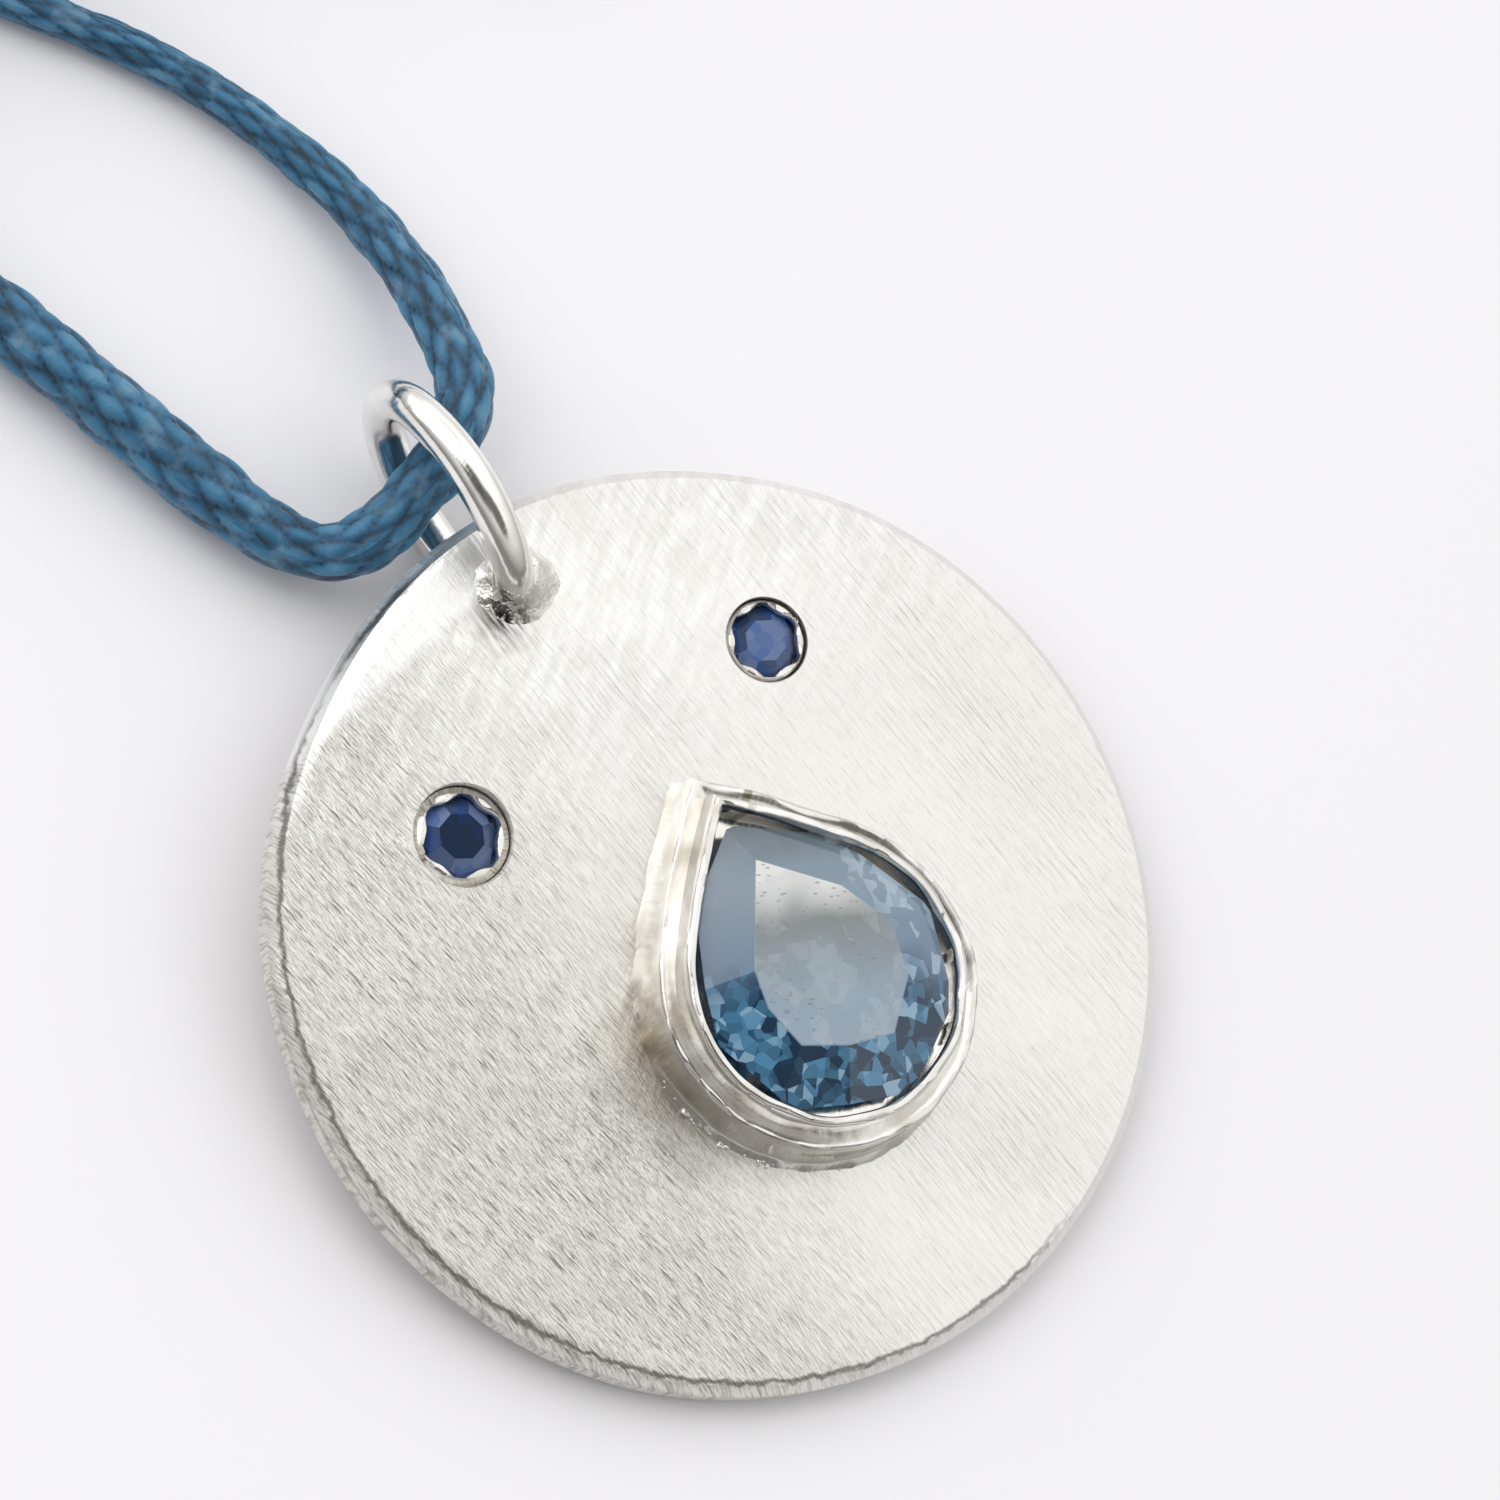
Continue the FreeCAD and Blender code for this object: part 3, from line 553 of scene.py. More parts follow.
def sanded_silver_material():
    material, tree = new_material("sanded_silver")
    place = pendant_mm(tree)
    x, y, z = add(tree, "SeparateXYZ", [place]).outputs
    flat = add(tree, "VectorMath", [place, (1, 1, 0)], operation="MULTIPLY")
    on_face = add(tree, "MapRange", [z, -0.35, -0.15])
    patches = add(tree, "TexNoise", {"Vector": place, "Scale": 0.3, "Detail": 4.0})

    # strokes of the paper, and long sweeps across the top
    fine = streaks(tree, place, -76, 0.9, 0.055)
    crossing = streaks(tree, place, -92, 0.6, 0.06, 2.0, 7.0)
    coarse = streaks(tree, place, -82, 1.8, 0.16, 3.0, 3.0)
    swept = streaks(tree, place, 36, 1.9, 0.5, 3.0, 5.0)
    grain = add(tree, "Math", [where_all(tree, fine, 0.55), where_all(tree, crossing, 0.45)], operation="ADD")
    # smooth: fewer strokes towards the right, where the tone is also painted brighter as reflected light
    rightward = add(tree, "Math", [x, where_all(tree, patches, 6.0)], operation="ADD")
    smooth = add(tree, "MapRange", [rightward, -4.0, 2.5])
    strokes = where_all(tree, add(tree, "MapRange", [grain, 0.47, 0.62]),
                        add(tree, "MapRange", [smooth, 0, 1, 0.8, 0.06]))
    deep = add(tree, "MapRange", [where_all(tree, fine, coarse), 0.33, 0.42])
    gouges = where_all(tree, deep, 0.55, on_face, add(tree, "MapRange", [smooth, 0, 1, 1.0, 0.12]))

    # marks: painted light on the swept top, painted shade beside the setting, dirt, the filed facet painted
    # bright as a highlight, and the chipped line of the rim
    swept_and_lit_top = where_all(tree, add(tree, "MapRange", [y, 3.0, 9.0]), add(tree, "MapRange", [swept, 0.4, 0.62]), 0.7)
    setting_shade = where_all(tree, near(tree, place, *SETTING_SHADE_SPOT), on_face, 0.8)
    dirt = where_all(tree, near(tree, place, *FOOT_DIRT), 0.95, add(tree, "MapRange", [coarse, 0.4, 0.54]))
    # the filed facet is painted near white: a painted highlight
    filed = add(tree, "VectorMath", [flat, FACET_TOWARD], operation="DOT_PRODUCT")
    facet = where_all(tree, add(tree, "MapRange", [filed, FACET_FROM, FACET_FROM + 0.35]),
                      add(tree, "MapRange", [x, -0.4, -1.2]), 0.9)
    chips = add(tree, "TexNoise", {"Vector": place, "Scale": 2.2, "Detail": 3.0})
    radius = uneven(tree, add(tree, "VectorMath", [flat], operation="LENGTH"), chips, 0.35)
    leftward = add(tree, "VectorMath", [flat, CHIPPED_TOWARD], operation="DOT_PRODUCT")
    edge = where_all(tree, add(tree, "MapRange", [radius, CHIPPED_AT - 0.08, CHIPPED_AT]),
                     add(tree, "MapRange", [radius, CHIPPED_AT + 0.06, CHIPPED_AT + 0.14, 1, 0]),
                     add(tree, "MapRange", [leftward, -2.5, 0.5]), add(tree, "MapRange", [z, -0.8, -0.6]), 0.75)

    # EAE8E4, FAF9F6 and FFFFFD are painted light, and 877F6E is painted shade
    tone = coats(tree, "E8E6E0", (smooth, "EAE8E4"), (swept_and_lit_top, "FAF9F6"), (strokes, "ABA89F"), (gouges, "6E6A62"),
                 (setting_shade, "877F6E"), (dirt, "3F3A34"), (facet, "FFFFFD"), (edge, "5A5751"))
    rough = add(tree, "Math", [add(tree, "MapRange", [grain, 0.4, 0.7, 0.3, 0.44]),
                               where_all(tree, patches, 0.1)], operation="ADD")
    relief = add(tree, "Math", [where_all(tree, grain, 1.2), where_all(tree, gouges, 0.7)], operation="SUBTRACT")
    relief = where_all(tree, relief, add(tree, "MapRange", [smooth, 0, 1, 1.2, 0.2]))
    relief = add(tree, "Math", [relief, where_all(tree, coarse, 0.9)], operation="ADD")
    relief = where_all(tree, relief, add(tree, "MapRange", [on_face, 0, 1, 0.25, 1.0]))
    relief = add(tree, "Math", [relief, where_all(tree, swept, patches, 2.6)], operation="ADD")
    surface(tree, {"Base Color": tone, "Metallic": 1.0, "Roughness": rough}, relief, 0.8, 0.04)
    return material


sanded_silver = sanded_silver_material()
disc = finish_piece(build_disc(), "silver_disc", "pendant", sanded_silver, ["disc"], crisp=28)


# %% [markdown]
# Settings, ring and findings are the same silver, but burnished: nearly a mirror, with the soft waves
# and the few scratches that hand polishing leaves. The pear setting also has a stain from the torch and
# the line of a soldered joint. The spring is steel wire: the same recipe, greyer and rougher.

# %% Burnished silver
HEAT_STAIN = (-3.75, -1.9, 1.9)             # x, y and reach
SEAM = (1.95, 2.6, 1.6)                     # soldered joint of the step's wall, and how its line lies
SEAM_TURN = math.radians(49)


def burnished_silver_material(name, roughness, wave, stain=False, tones=("FAF9F6", "E6E3DC")):
    material, tree = new_material(name)
    place = pendant_mm(tree)
    waves = add(tree, "TexNoise", {"Vector": place, "Scale": 0.7, "Detail": 2.0})
    marks = streaks(tree, place, 30, 1.6, 0.08)
    tone = coats(tree, tones[0], (add(tree, "MapRange", [waves, 0.35, 0.7]), tones[1]))
    if stain:
        heat = where_all(tree, near(tree, place, *HEAT_STAIN),
                         add(tree, "MapRange", [marks, 0.35, 0.6, 0.4, 0.85]))
        spot = add(tree, "VectorMath", [place, SEAM], operation="SUBTRACT")
        along = add(tree, "Mapping", {"Vector": spot, "Rotation": (0, 0, SEAM_TURN)})
        offset = add(tree, "Math", [add(tree, "SeparateXYZ", [along])], operation="ABSOLUTE")
        seam = where_all(tree, add(tree, "MapRange", [offset, 0.1, 0.16, 0.75, 0.0]),
                         near(tree, place, SEAM[0], SEAM[1], 2.6, 0.3))
        tone = coats(tree, tone, (heat, "A98F5C"), (seam, "8F8468"))
    rough = add(tree, "MapRange", [marks, 0.3, 0.75, roughness, roughness + 0.12])
    relief = add(tree, "Math", [where_all(tree, waves, wave), where_all(tree, marks, 0.06)], operation="ADD")
    surface(tree, {"Base Color": tone, "Metallic": 1.0, "Roughness": rough}, relief, 0.5, 0.1)
    return material


burnished_silver = burnished_silver_material("burnished_silver", 0.09, 0.7)
# the settings take darker tones than the ring's silver: painted shade on the same metal
setting_silver = burnished_silver_material("setting_silver", 0.13, 1.0, True, ("EEECE9", "D0CCC4"))
spring_steel = burnished_silver_material("spring_steel", 0.22, 0.2, tones=("B4B6BA", "8E9094"))

# %% [markdown]
# The pear setting has a low outer step and a taller inner collar. Both follow the same outline: a round
# end whose long, nearly straight sides meet in a point. A sheet of faces is wrapped round the outline,
# with one row for each point of the wall's section, and closed on itself.

# %% Pear outline
PEAR_MIDDLE = Vector((1.07, -2.92, 0))
PEAR_RADIUS = 4.1
PEAR_REACH = 5.86
PEAR_SIDE = 24.0
PEAR_STEPS = 200
SIDE_AWAY = PEAR_SIDE - PEAR_RADIUS
JOIN = math.asin((PEAR_SIDE ** 2 - SIDE_AWAY ** 2 - PEAR_REACH ** 2) / (2 * PEAR_REACH * SIDE_AWAY))
SIDE_ACROSS, SIDE_BELOW = SIDE_AWAY * math.cos(JOIN), SIDE_AWAY * math.sin(JOIN)


def pear_point(share, offset):
    """A point of the outline, offset outwards. share runs from 0 at the point clockwise round to 1."""
    radius, side = PEAR_RADIUS + offset, PEAR_SIDE + offset
    tip = math.acos(SIDE_ACROSS / side)
    side_length = (tip - JOIN) * side
    round_length = (math.pi + 2 * JOIN) * radius
    half = side_length + round_length / 2
    walked = share * 2 * half
    mirror = 1
    if walked > half:
        walked, mirror = 2 * half - walked, -1
    if walked < side_length:
        angle = tip - walked / side
        across = side * math.cos(angle) - SIDE_ACROSS
        return Vector((mirror * across, side * math.sin(angle) - SIDE_BELOW, 0))
    angle = JOIN - (walked - side_length) / radius
    return Vector((mirror * radius * math.cos(angle), radius * math.sin(angle), 0))


def wrap_sheet(columns, rows, place):
    """A sheet of faces whose points are set by place(column, row). Edges that meet are merged."""
    bm = bmesh.new()
    bmesh.ops.create_grid(bm, x_segments=columns, y_segments=rows, size=0.5)
    for vert in bm.verts:
        vert.co = place(round((vert.co.x + 0.5) * columns), round((vert.co.y + 0.5) * rows))
    bmesh.ops.remove_doubles(bm, verts=bm.verts, dist=1e-4)
    return bm


def pear_wall(profile, wobble, seed):
    """A closed wall round the pear. profile lists offset, height, and share of the wobble and the flare."""
    section = profile + profile[:1]

    def place(column, row):
        offset, height, share, flare = section[row]
        at = column % PEAR_STEPS / PEAR_STEPS
        spread_out = flare * (0.35 + 0.65 * hump(at * 360, 215, 120))
        spot = pear_point(at, offset + spread_out)
        slow = noise.noise(Vector((spot.x * 0.55, spot.y * 0.55, seed)))
        quick = noise.noise(Vector((spot.x * 1.7, spot.y * 1.7, seed + row * 0.4)))
        shake = (slow + 0.25 * quick) * wobble * share
        ragged = flare * 0.3 * noise.noise(Vector((spot.x * 2.2, spot.y * 2.2, seed)))
        spot += spot.normalized() * (shake + ragged)
        return PEAR_MIDDLE + spot + Vector((0, 0, height + shake * 0.6))

    return wrap_sheet(PEAR_STEPS, len(profile), place)


STEP_PROFILE = [
    (0.36, -0.15, 0, 0), (1.0, -0.15, 0, 0.4), (0.98, 0.03, 0.3, 0.3), (0.99, 0.14, 0.5, 0.12),
    (0.97, 0.35, 0.5, 0.03), (0.96, 0.8, 0.5, 0), (0.94, 1.25, 0.5, 0), (0.92, 1.42, 0.8, 0),
    (0.88, 1.5, 1.0, 0), (0.82, 1.53, 1.0, 0), (0.74, 1.52, 0.8, 0), (0.6, 1.47, 0.4, 0),
    (0.46, 1.42, 0, 0), (0.36, 1.4, 0, 0),
]
COLLAR_PROFILE = [
    (0.12, -0.1, 0, 0), (0.38, -0.1, 0, 0), (0.39, 1.45, 0, 0), (0.37, 1.8, 0.3, 0), (0.34, 2.05, 0.6, 0),
    (0.31, 2.2, 0.9, 0), (0.25, 2.27, 1.0, 0), (0.16, 2.3, 1.0, 0), (0.06, 2.27, 1.0, 0),
    (0.01, 2.19, 1.0, 0), (0.0, 2.02, 0.9, 0), (0.12, 1.9, 0, 0),
]
step = finish_piece(pear_wall(STEP_PROFILE, 0.1, 1), "setting_step", "pendant",
                    setting_silver, ["bezel_step"], crisp=33)
collar = finish_piece(pear_wall(COLLAR_PROFILE, 0.11, 4), "setting_collar", "pendant",
                      setting_silver, ["bezel_collar"], crisp=38)
print("pear setting done")

# %% [markdown]
# A cut stone is a solid with flat facets, made as a cutter makes it: a rough blank is ground down plane
# by plane. bisect_plane takes off what is outside a plane and the cut is closed with one flat face.

# %% Cutting stones
def grind(bm, on, normal):
    """Take off everything on the far side of a plane and close the cut."""
    geometry = bm.verts[:] + bm.edges[:] + bm.faces[:]
    cut = bmesh.ops.bisect_plane(bm, geom=geometry, plane_co=on, plane_no=normal, clear_outer=True, dist=1e-5)
    edges = [g for g in cut["geom_cut"] if isinstance(g, bmesh.types.BMEdge)]
    if len(edges) > 2:
        bmesh.ops.holes_fill(bm, edges=[e for e in edges if e.is_boundary], sides=0)


def facet_plane(first, second, third, inside):
    """A plane through three points, with its normal away from an inside point."""
    normal = (second - first).cross(third - first).normalized()
    if normal.dot(inside - first) > 0:
        normal.negate()
    return first, normal


GIRDLE_LOW = 1.62
GIRDLE_HIGH = 1.84
TABLE_HEIGHT = 2.62
CULET_HEIGHT = 0.5
STONE_OFFSET = 0.1
TABLE_CORNERS = [
    (-0.17, 4.0), (1.7, 2.06), (2.44, 0.4), (2.02, -1.18), (0.68, -2.37), (-0.75, -1.97), (-2.03, -1.23),
    (-2.31, 0.19), (-2.06, 1.3),
]


def rim_touch(outline, out, height):
    """The point of the girdle that lies furthest out in a direction."""
    spot = max(outline, key=lambda place: place.dot(out))
    return Vector((spot.x, spot.y, height))


def pear_stone():
    outline = [pear_point(i / 120, STONE_OFFSET) for i in range(120)]
    bm = bmesh.new()
    ring = bmesh.ops.create_circle(bm, segments=120, radius=1.0, cap_ends=True)["verts"]
    for vert, spot in zip(ring, outline):
        vert.co = spot + Vector((0, 0, CULET_HEIGHT))
    lid = bmesh.ops.extrude_face_region(bm, geom=bm.faces[:])["geom"]
    for vert in [g for g in lid if isinstance(g, bmesh.types.BMVert)]:
        vert.co.z = TABLE_HEIGHT
    bmesh.ops.recalc_face_normals(bm, faces=bm.faces)
    middle = Vector((0, 0.6, 1.7))
    table = [Vector((x, y, TABLE_HEIGHT)) for x, y in TABLE_CORNERS]
    for first, second in zip(table, table[1:] + table[:1]):
        edge = (second - first).normalized()
        out = Vector((edge.y, -edge.x, 0))
        if out.dot(first - middle) < 0:
            out.negate()
        grind(bm, *facet_plane(first, second, rim_touch(outline, out, GIRDLE_HIGH), middle))
    for corner in table:
        out = (corner - Vector((0, 0.6, TABLE_HEIGHT))).normalized()
        for lean in (-0.24, 0.24):
            turned = Matrix.Rotation(lean, 3, "Z") @ out
            normal = (turned * 0.62 + Vector((0, 0, 0.78))).normalized()
            grind(bm, rim_touch(outline, turned, GIRDLE_HIGH), normal)
    for ring_index, (count, slope) in enumerate(((16, 0.62), (8, 1.05))):
        for index in range(count):
            angle = 2 * math.pi * (index + 0.5 * ring_index) / count
            out = Vector((math.cos(angle), math.sin(angle), 0))
            touch = rim_touch(outline, out, GIRDLE_LOW - 0.42 * ring_index) * (1 - 0.42 * ring_index)
            touch.z = GIRDLE_LOW - 0.42 * ring_index
            grind(bm, touch, Vector((out.x, out.y, -slope * 1.6)).normalized())
    bmesh.ops.dissolve_degenerate(bm, dist=1e-4, edges=bm.edges)
    bmesh.ops.translate(bm, verts=bm.verts, vec=PEAR_MIDDLE)
    return bm


def shade_facets(bm, seed, table=None):
    """Each facet gets its own brightness, as each sends back light from its own direction."""
    draw = random.Random(seed)
    layer = bm.loops.layers.float_color.new("facet")
    bm.normal_update()
    for face in bm.faces:
        value = draw.random()
        if table is not None and face.normal.z > 0.999:
            value = table
        for loop in face.loops:
            loop[layer] = (value, value, value, 1.0)


# %% [markdown]
# The pale sapphire is clear, with a grey haze under its table and deep blue in its round end. Light that
# goes in through the crown is thrown back by the pavilion in patches, each a different blue. These
# patches are painted as cells, the facets get painted shades of their own, the table a painted reflection
# that turns white towards the point, and the stone a faint painted glow. Part of the light goes straight
# through as in glass. Small brown and grey specks hang in the haze.

# %% Pear stone material
SAPPHIRE_IOR = 1.76


def pear_stone_material():
    material, tree = new_material("pale_blue_sapphire")
    place = add(tree, "VectorMath", [pendant_mm(tree), PEAR_MIDDLE], operation="SUBTRACT")
    x, y, z = add(tree, "SeparateXYZ", [place]).outputs
    facet = add(tree, "Attribute", attribute_name="facet").outputs["Fac"]
    large, small = (add(tree, "TexVoronoi", {"Vector": place, "Scale": scale}).outputs["Color"]
                    for scale in (1.5, 2.6))
    cell = add(tree, "SeparateColor", [coats(tree, large, (0.42, small))])
    cloud = add(tree, "TexNoise", {"Vector": place, "Scale": 0.55, "Detail": 2.0})
    slope = add(tree, "Math", [y, where_all(tree, x, 0.5)], operation="ADD")
    along = uneven(tree, slope, cloud, 2.0)

    # the table: a grey haze and a painted reflection, turning white from the round end to the point
    table = add(tree, "MapRange", [z, TABLE_HEIGHT - 0.02, TABLE_HEIGHT - 0.005])
    window = coats(tree, "9BB0C0",
                   (add(tree, "MapRange", [along, -0.8, 1.6]), "8C9394"),
                   (add(tree, "MapRange", [along, 1.7, 3.6]), "FFFFFC"),
                   (add(tree, "MapRange", [cell, 0.5, 0.75, 0.0, 0.22]), "D5DEE4"))

    # the crown: painted reflections, deep patches in the round end and painted bright glints on the right
    patch = coats(tree, "032A44", (add(tree, "MapRange", [cell, 0.4, 0.74]), "5798C0"),
                  (add(tree, "MapRange", [cell, 0.74, 0.8]), "9DC0D8"))
    right = where_all(tree, add(tree, "MapRange", [x, 1.8, 3.0]),
                      add(tree, "MapRange", [cell, 0.55, 0.62]), 0.55)
    crown = coats(tree, "1F5B84",
                  (add(tree, "MapRange", [along, -1.0, 2.8]), "7D91A1"),
                  (add(tree, "MapRange", [along, 3.6, 5.6]), "566064"),
                  (add(tree, "MapRange", [facet, 0.15, 0.9, 0.0, 0.35]), "A3BACD"),
                  (add(tree, "MapRange", [along, -1.0, 0.8, 0.92, 0.0]), patch),
                  (right, "C4D8E6"))

    # specks under the table, thickest where the haze is
    turned = add(tree, "Mapping", {
        "Vector": place, "Rotation": (0, 0, math.radians(-30)), "Scale": (0.24, 0.1, 1.0)},
        vector_type="TEXTURE")
    specks = add(tree, "TexVoronoi", {"Vector": turned, "Scale": 0.75})
    thick = add(tree, "MapRange", [cloud, 0.4, 0.6, 0.1, 0.24])
    speck = where_all(tree, add(tree, "Math", [specks, thick], operation="LESS_THAN"), table, 0.5)
    body = coats(tree, crown, (table, window), (speck, "6D6A66"))
    # the same colours also glow faintly: painted light
    surface(tree, {
        "Base Color": body, "Emission Color": body, "Emission Strength": 0.08, "Roughness": 0.02,
        "IOR": SAPPHIRE_IOR, "Specular IOR Level": 0.4,
        "Transmission Weight": add(tree, "MapRange", [table, 0, 1, 0.22, 0.3])})
    return material


stone_mesh = pear_stone()
shade_facets(stone_mesh, 11)
stone = finish_piece(stone_mesh, "pear_sapphire", "pendant", pear_stone_material(),
                     ["pear_stone"], crisp=1)

# %% [markdown]
# The two small stones sit in short tubes let into the disc. Each tube's lip was pressed down by six
# touches of a pusher, which leaves a lobed edge.

# %% Small settings
LOBES = 6
LOBE_DEPTH = 0.075
COLLET_TOP = -0.13


def build_collet(eye):
    hole, aperture = eye["hole"], eye["aperture"]
    seat = aperture + 0.1
    profile = [
        (seat - 0.35, -1.9), (hole - 0.02, -1.9), (hole - 0.005, -1.8), (hole - 0.005, COLLET_TOP - 0.2),
        (hole - 0.05, COLLET_TOP - 0.14), (aperture + 0.2, COLLET_TOP - 0.07), (aperture + 0.12, COLLET_TOP),
        (aperture + 0.05, COLLET_TOP - 0.02), (aperture, COLLET_TOP - 0.1), (aperture, COLLET_TOP - 0.25),
        (seat, COLLET_TOP - 0.27), (seat, COLLET_TOP - 0.56),
        (seat - 0.35, COLLET_TOP - 1.2), (seat - 0.35, -1.9),
    ]
    bm = spin_profile(profile, 96)
    for vert in bm.verts:
        radius = math.hypot(vert.co.x, vert.co.y)
        if vert.co.z > COLLET_TOP - 0.26 and radius < aperture + 0.12:
            angle = math.atan2(vert.co.y, vert.co.x)
            lobe = 1 + LOBE_DEPTH * math.cos(LOBES * angle + eye["x"])
            lobe += 0.02 * noise.noise(Vector((math.cos(angle) * 3, math.sin(angle) * 3, eye["x"])))
            vert.co.x *= lobe
            vert.co.y *= lobe
    bmesh.ops.translate(bm, verts=bm.verts, vec=(eye["x"], eye["y"], 0))
    return bm


def build_round_stone(eye):
    """A round brilliant: a table, eight main facets and sixteen by the girdle, and a pavilion of eight."""
    radius = eye["aperture"] + 0.08
    girdle = COLLET_TOP - 0.47
    bm = bmesh.new()
    bmesh.ops.create_cone(bm, cap_ends=True, segments=48, radius1=radius, radius2=radius, depth=2.6)
    bmesh.ops.translate(bm, verts=bm.verts, vec=(0, 0, girdle - 0.2))
    table = girdle + radius * 0.36
    grind(bm, Vector((0, 0, table)), Vector((0, 0, 1)))
    for count, slope, lift, phase in ((8, 35, 0.05, 0.0), (16, 43, 0.04, 0.5), (8, 139, -0.05, 0.5)):
        for index in range(count):
            angle = 2 * math.pi * (index + phase) / count + 0.3
            out = Vector((math.cos(angle), math.sin(angle), 0))
            up = Vector((0, 0, 1))
            normal = out * math.sin(math.radians(slope)) + up * math.cos(math.radians(slope))
            grind(bm, out * radius + up * (girdle + lift), normal)
    bmesh.ops.translate(bm, verts=bm.verts, vec=(eye["x"], eye["y"], 0))
    return bm


def small_stone_material():
    """Deep blue crystal: navy facets with painted reflections in grey violet, and a few painted bright blue
    flashes.
    """
    material, tree = new_material("deep_blue_sapphire")
    facet = add(tree, "Attribute", attribute_name="facet").outputs["Fac"]
    cells = add(tree, "TexVoronoi", {"Vector": pendant_mm(tree), "Scale": 2.4}).outputs["Color"]
    cell = add(tree, "SeparateColor", [cells]).outputs[1]
    lit = coats(tree, "04213F", (facet, "6B7DA4"),
                (add(tree, "MapRange", [cell, 0.62, 0.72, 0.0, 0.4]), "104E9E"))
    surface(tree, {"Base Color": lit, "Roughness": 0.03, "IOR": SAPPHIRE_IOR, "Specular IOR Level": 0.08})
    return material


deep_sapphire = small_stone_material()
# the tables get painted reflections: navy on the left stone, grey violet on the right
for side, eye, seed, table_shade in (("left", LEFT_EYE, 3, 0.02), ("right", RIGHT_EYE, 8, 1.0)):
    finish_piece(build_collet(eye), side + "_tube_setting", "pendant", setting_silver,
                 [side + "_collet"], crisp=50)
    small = build_round_stone(eye)
    shade_facets(small, seed, table_shade)
    finish_piece(small, side + "_round_sapphire", "pendant", deep_sapphire,
                 [side + "_sapphire"], crisp=1)

# %% [markdown]
# The bail is a length of round wire bent to an oval. Five spins of one circle, each about the middle of
# its own arc, make it without any seam: the first and the last are the halves of one end.

# %% Bail ring
WIRE_RADIUS = 0.625
RING_HALF_LONG = 3.35
RING_HALF_HIGH = 2.4
RING_END = 0.79 * RING_HALF_HIGH
RING_MIDDLE = Vector((0, 14.95, -0.6))
RING_FLAT = RING_HALF_LONG - RING_END
RING_SIDE = (RING_FLAT ** 2 + RING_HALF_HIGH ** 2 - RING_END ** 2) / (2 * (RING_HALF_HIGH - RING_END))


def build_ring():
    split = math.atan2(RING_SIDE - RING_HALF_HIGH, RING_FLAT)
    bm = bmesh.new()
    made = bmesh.ops.create_circle(bm, segments=32, radius=WIRE_RADIUS)
    # the first circle lies at the far end of the oval, crossing its line
    bmesh.ops.translate(bm, verts=made["verts"], vec=RING_MIDDLE + Vector((0, RING_HALF_LONG, 0)))
    section = list(bm.verts) + list(bm.edges)
    arcs = [
        (Vector((0, RING_FLAT, 0)), split, 14),
        (Vector((0, 0, RING_HALF_HIGH - RING_SIDE)), math.pi - 2 * split, 24),
        (Vector((0, -RING_FLAT, 0)), 2 * split, 28),
        (Vector((0, 0, RING_SIDE - RING_HALF_HIGH)), math.pi - 2 * split, 24),
        (Vector((0, RING_FLAT, 0)), split, 14),
    ]
    for middle, angle, steps in arcs:
        spun = bmesh.ops.spin(
            bm, geom=section, cent=RING_MIDDLE + middle, axis=(1, 0, 0), angle=angle, steps=steps)
        section = spun["geom_last"]
    bmesh.ops.remove_doubles(bm, verts=bm.verts, dist=0.002)
    return bm


ring = finish_piece(build_ring(), "bail_wire", "pendant", burnished_silver, ["bail_ring"])

# %% [markdown]
# Where the wire goes through the disc, solder was flooded round it. It stands as an uneven, pitted
# mound, highest to the right of the wire.

# %% Solder
PITTED_SIDE = (-0.8, 11.1, 1.5, 0.9)        # x, y, reach and softness of the side that is full of pits


def build_solder():
    profile = [
        (0.3, 0.75), (0.6, 0.72), (0.68, 0.5), (0.8, 0.27), (0.98, 0.1), (1.2, 0.01), (1.4, -0.08),
        (0.75, -0.12), (0.75, -1.12), (1.3, -1.16), (1.24, -1.22), (1.0, -1.4), (0.8, -1.6), (0.6, -1.62),
        (0.3, -1.62), (0.3, 0.75),
    ]
    bm = spin_profile(profile, 72)
    for vert in bm.verts:
        radius = math.hypot(vert.co.x, vert.co.y)
        if vert.co.z > -0.1:
            angle = math.degrees(math.atan2(vert.co.y, vert.co.x))
            if radius > 0.63:
                heap = 1 + 0.55 * hump(angle, 5, 70) - 0.3 * hump(angle, 200, 90)
                rough = 1 + 0.22 * noise.noise(Vector((vert.co.x * 2.2, vert.co.y * 2.2, 1)))
                vert.co.x *= 0.6 + 0.4 * heap * rough
                vert.co.y *= 0.6 + 0.4 * heap * rough
                vert.co.z *= heap * rough
            # the wire leans outwards as it comes out of the disc, and the solder follows it
            vert.co.y += 0.5 * max(vert.co.z, 0) ** 1.3
    bmesh.ops.translate(bm, verts=bm.verts, vec=(0, BAIL_HOLE_Y, 0))
    return bm


def solder_material():
    material, tree = new_material("pitted_solder")
    place = pendant_mm(tree)
    lumps = add(tree, "TexNoise", {"Vector": place, "Scale": 1.6, "Detail": 4.0, "Roughness": 0.6})
    holes = add(tree, "TexNoise", {"Vector": place, "Scale": 3.2, "Detail": 2.0})
    low_left = near(tree, place, *PITTED_SIDE)
    pits = where_all(tree, add(tree, "MapRange", [holes, 0.42, 0.55]),
                     add(tree, "MapRange", [low_left, 0, 1, 0.05, 1.0]))
    tone = coats(tree, "D8D4CB", (add(tree, "MapRange", [lumps, 0.35, 0.6]), "F8F6F2"), (pits, "3C3934"))
    relief = add(tree, "Math", [lumps, where_all(tree, pits, 0.5)], operation="SUBTRACT")
    surface(tree, {"Base Color": tone, "Metallic": 1.0, "Roughness": 0.27}, relief, 0.7, 0.22)
    return material


pitted_solder = solder_material()
solder = finish_piece(build_solder(), "bail_solder_mound", "pendant", pitted_solder,
                      ["bail_solder"], crisp=60)

# %% [markdown]
# Crumbs of solder were left along the foot of the pear setting, thickest on its lower left. Each is a
# small flattened ball. They are one piece, since none of them comes off.

# %% Solder crumbs
CRUMBS = 46
BALL_FACES = 20            # of the simplest icosphere


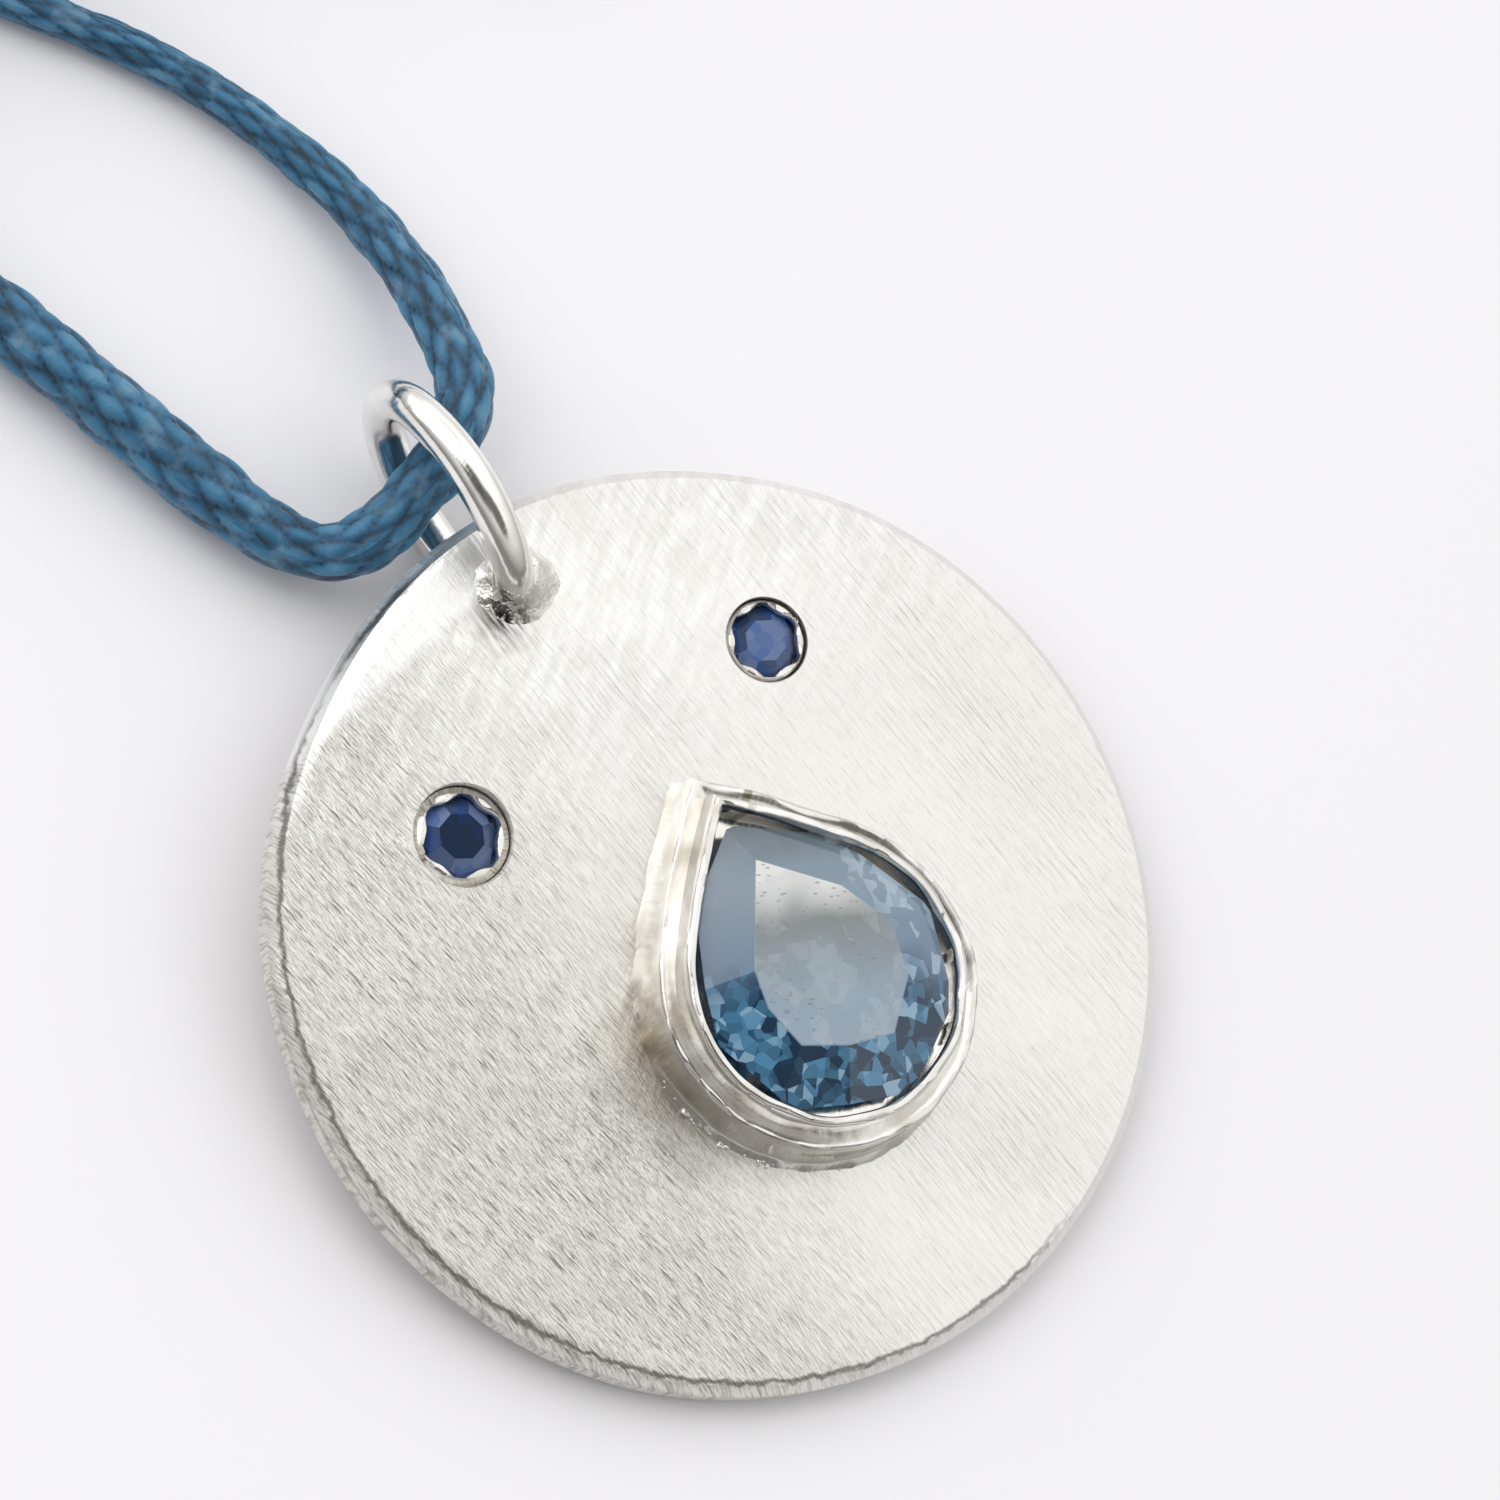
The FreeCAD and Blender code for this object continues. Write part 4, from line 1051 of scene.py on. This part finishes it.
def build_crumbs():
    draw = random.Random(4)
    bm = bmesh.new()
    while len(bm.faces) < CRUMBS * BALL_FACES:
        spot = pear_point(draw.random(), 1.02 + 0.34 * draw.random())
        if draw.random() > hump(math.degrees(math.atan2(spot.y, spot.x)), 212, 52):
            continue
        spot += PEAR_MIDDLE
        size = 0.04 + 0.06 * draw.random() ** 2
        made = bmesh.ops.create_icosphere(bm, subdivisions=1, radius=size)["verts"]
        squeeze = Matrix.Diagonal((1 + draw.random(), 1.0, 0.5 + 0.3 * draw.random()))
        turn = Matrix.Rotation(draw.random() * math.pi, 3, "Z")
        for vert in made:
            vert.co = turn @ (squeeze @ vert.co) + spot + Vector((0, 0, 0.02))
    return bm


finish_piece(build_crumbs(), "solder_crumbs", "pendant", pitted_solder, crisp=80)

# %% [markdown]
# End caps, rings and clasp keep their CAD meshes, which have the right shape, and take the burnished
# silver. The spring is plain steel wire.

# %% Findings
for node in ("end_cap_left", "end_cap_right", "clasp_jump_ring", "catch_ring", "clasp_body", "clasp_lever",
             "clasp_pin", "clasp_spring", "bezel_bearer"):
    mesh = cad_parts[node].data
    mesh.materials.clear()
    mesh.materials.append(spring_steel if node == "clasp_spring" else burnished_silver)
print("findings finished")

# %% [markdown]
# Silver shows what is round it. The table and the room are white, as in a jeweller's tent: the room is
# bright above and dim at the horizon, and it holds a few darker shapes: the walls of the pear setting
# and the facets of the stones need something to mirror. One large soft light gives the faint shadow.

# %% Table and light
TENT_TOP = (0.25, 0.2, 0.95)
TENT_STRENGTH = 1.19
DARK_SHAPES = [     # direction, cosines of its soft edge's start and end, and shade
    ((-0.41, -0.08, 0.91), 0.88, 0.97, "55524F"),
    ((-0.12, -0.5, 0.857), 0.92, 0.97, "6A6763"),
    ((0.1, 0.6, 0.79), 0.86, 0.96, "D8D6D3"),
]


def add_table():
    bm = bmesh.new()
    bmesh.ops.create_grid(bm, x_segments=1, y_segments=1, size=1.0)
    table = new_object("table_top", bm)
    material, tree = new_material("white_paper")
    surface(tree, {"Base Color": colour("FBFAFD"), "Roughness": 0.9})
    table.data.materials.append(material)


def add_room():
    """A white tent, dim at the horizon, with three darker shapes in it."""
    world = bpy.data.worlds.new("room")
    bpy.context.scene.world = world
    world.use_nodes = True
    tree = world.node_tree
    tree.nodes.clear()
    aim = add(tree, "TexCoord").outputs["Generated"]
    height = add(tree, "VectorMath", [aim, TENT_TOP], operation="DOT_PRODUCT")
    sky = coats(tree, "7E7D7B", (add(tree, "MapRange", [height, 0.0, 0.72]), "FFFFFF"))
    for toward, edge, full, shade in DARK_SHAPES:
        share = add(tree, "VectorMath", [aim, toward], operation="DOT_PRODUCT")
        sky = coats(tree, sky, (add(tree, "MapRange", [share, edge, full]), shade))
    back = add(tree, "Background", {"Color": sky, "Strength": TENT_STRENGTH})
    add(tree, "OutputWorld", [back])


def add_light(name, place, size, power):
    """A square soft light, in millimetres, that faces the middle of the pendant."""
    data = bpy.data.lights.new(name, "AREA")
    data.size = size * MM
    data.energy = power
    light = new_object(name, data)
    light.location = Vector(place) * MM
    light.rotation_euler = (Vector((0, 0, 3)) - Vector(place)).to_track_quat("-Z", "Y").to_euler()


add_table()
add_room()
add_light("window", (-80, 300, 320), 520, 0.85)
scene = bpy.context.scene
scene.view_settings.view_transform = "Standard"
print("room ready")
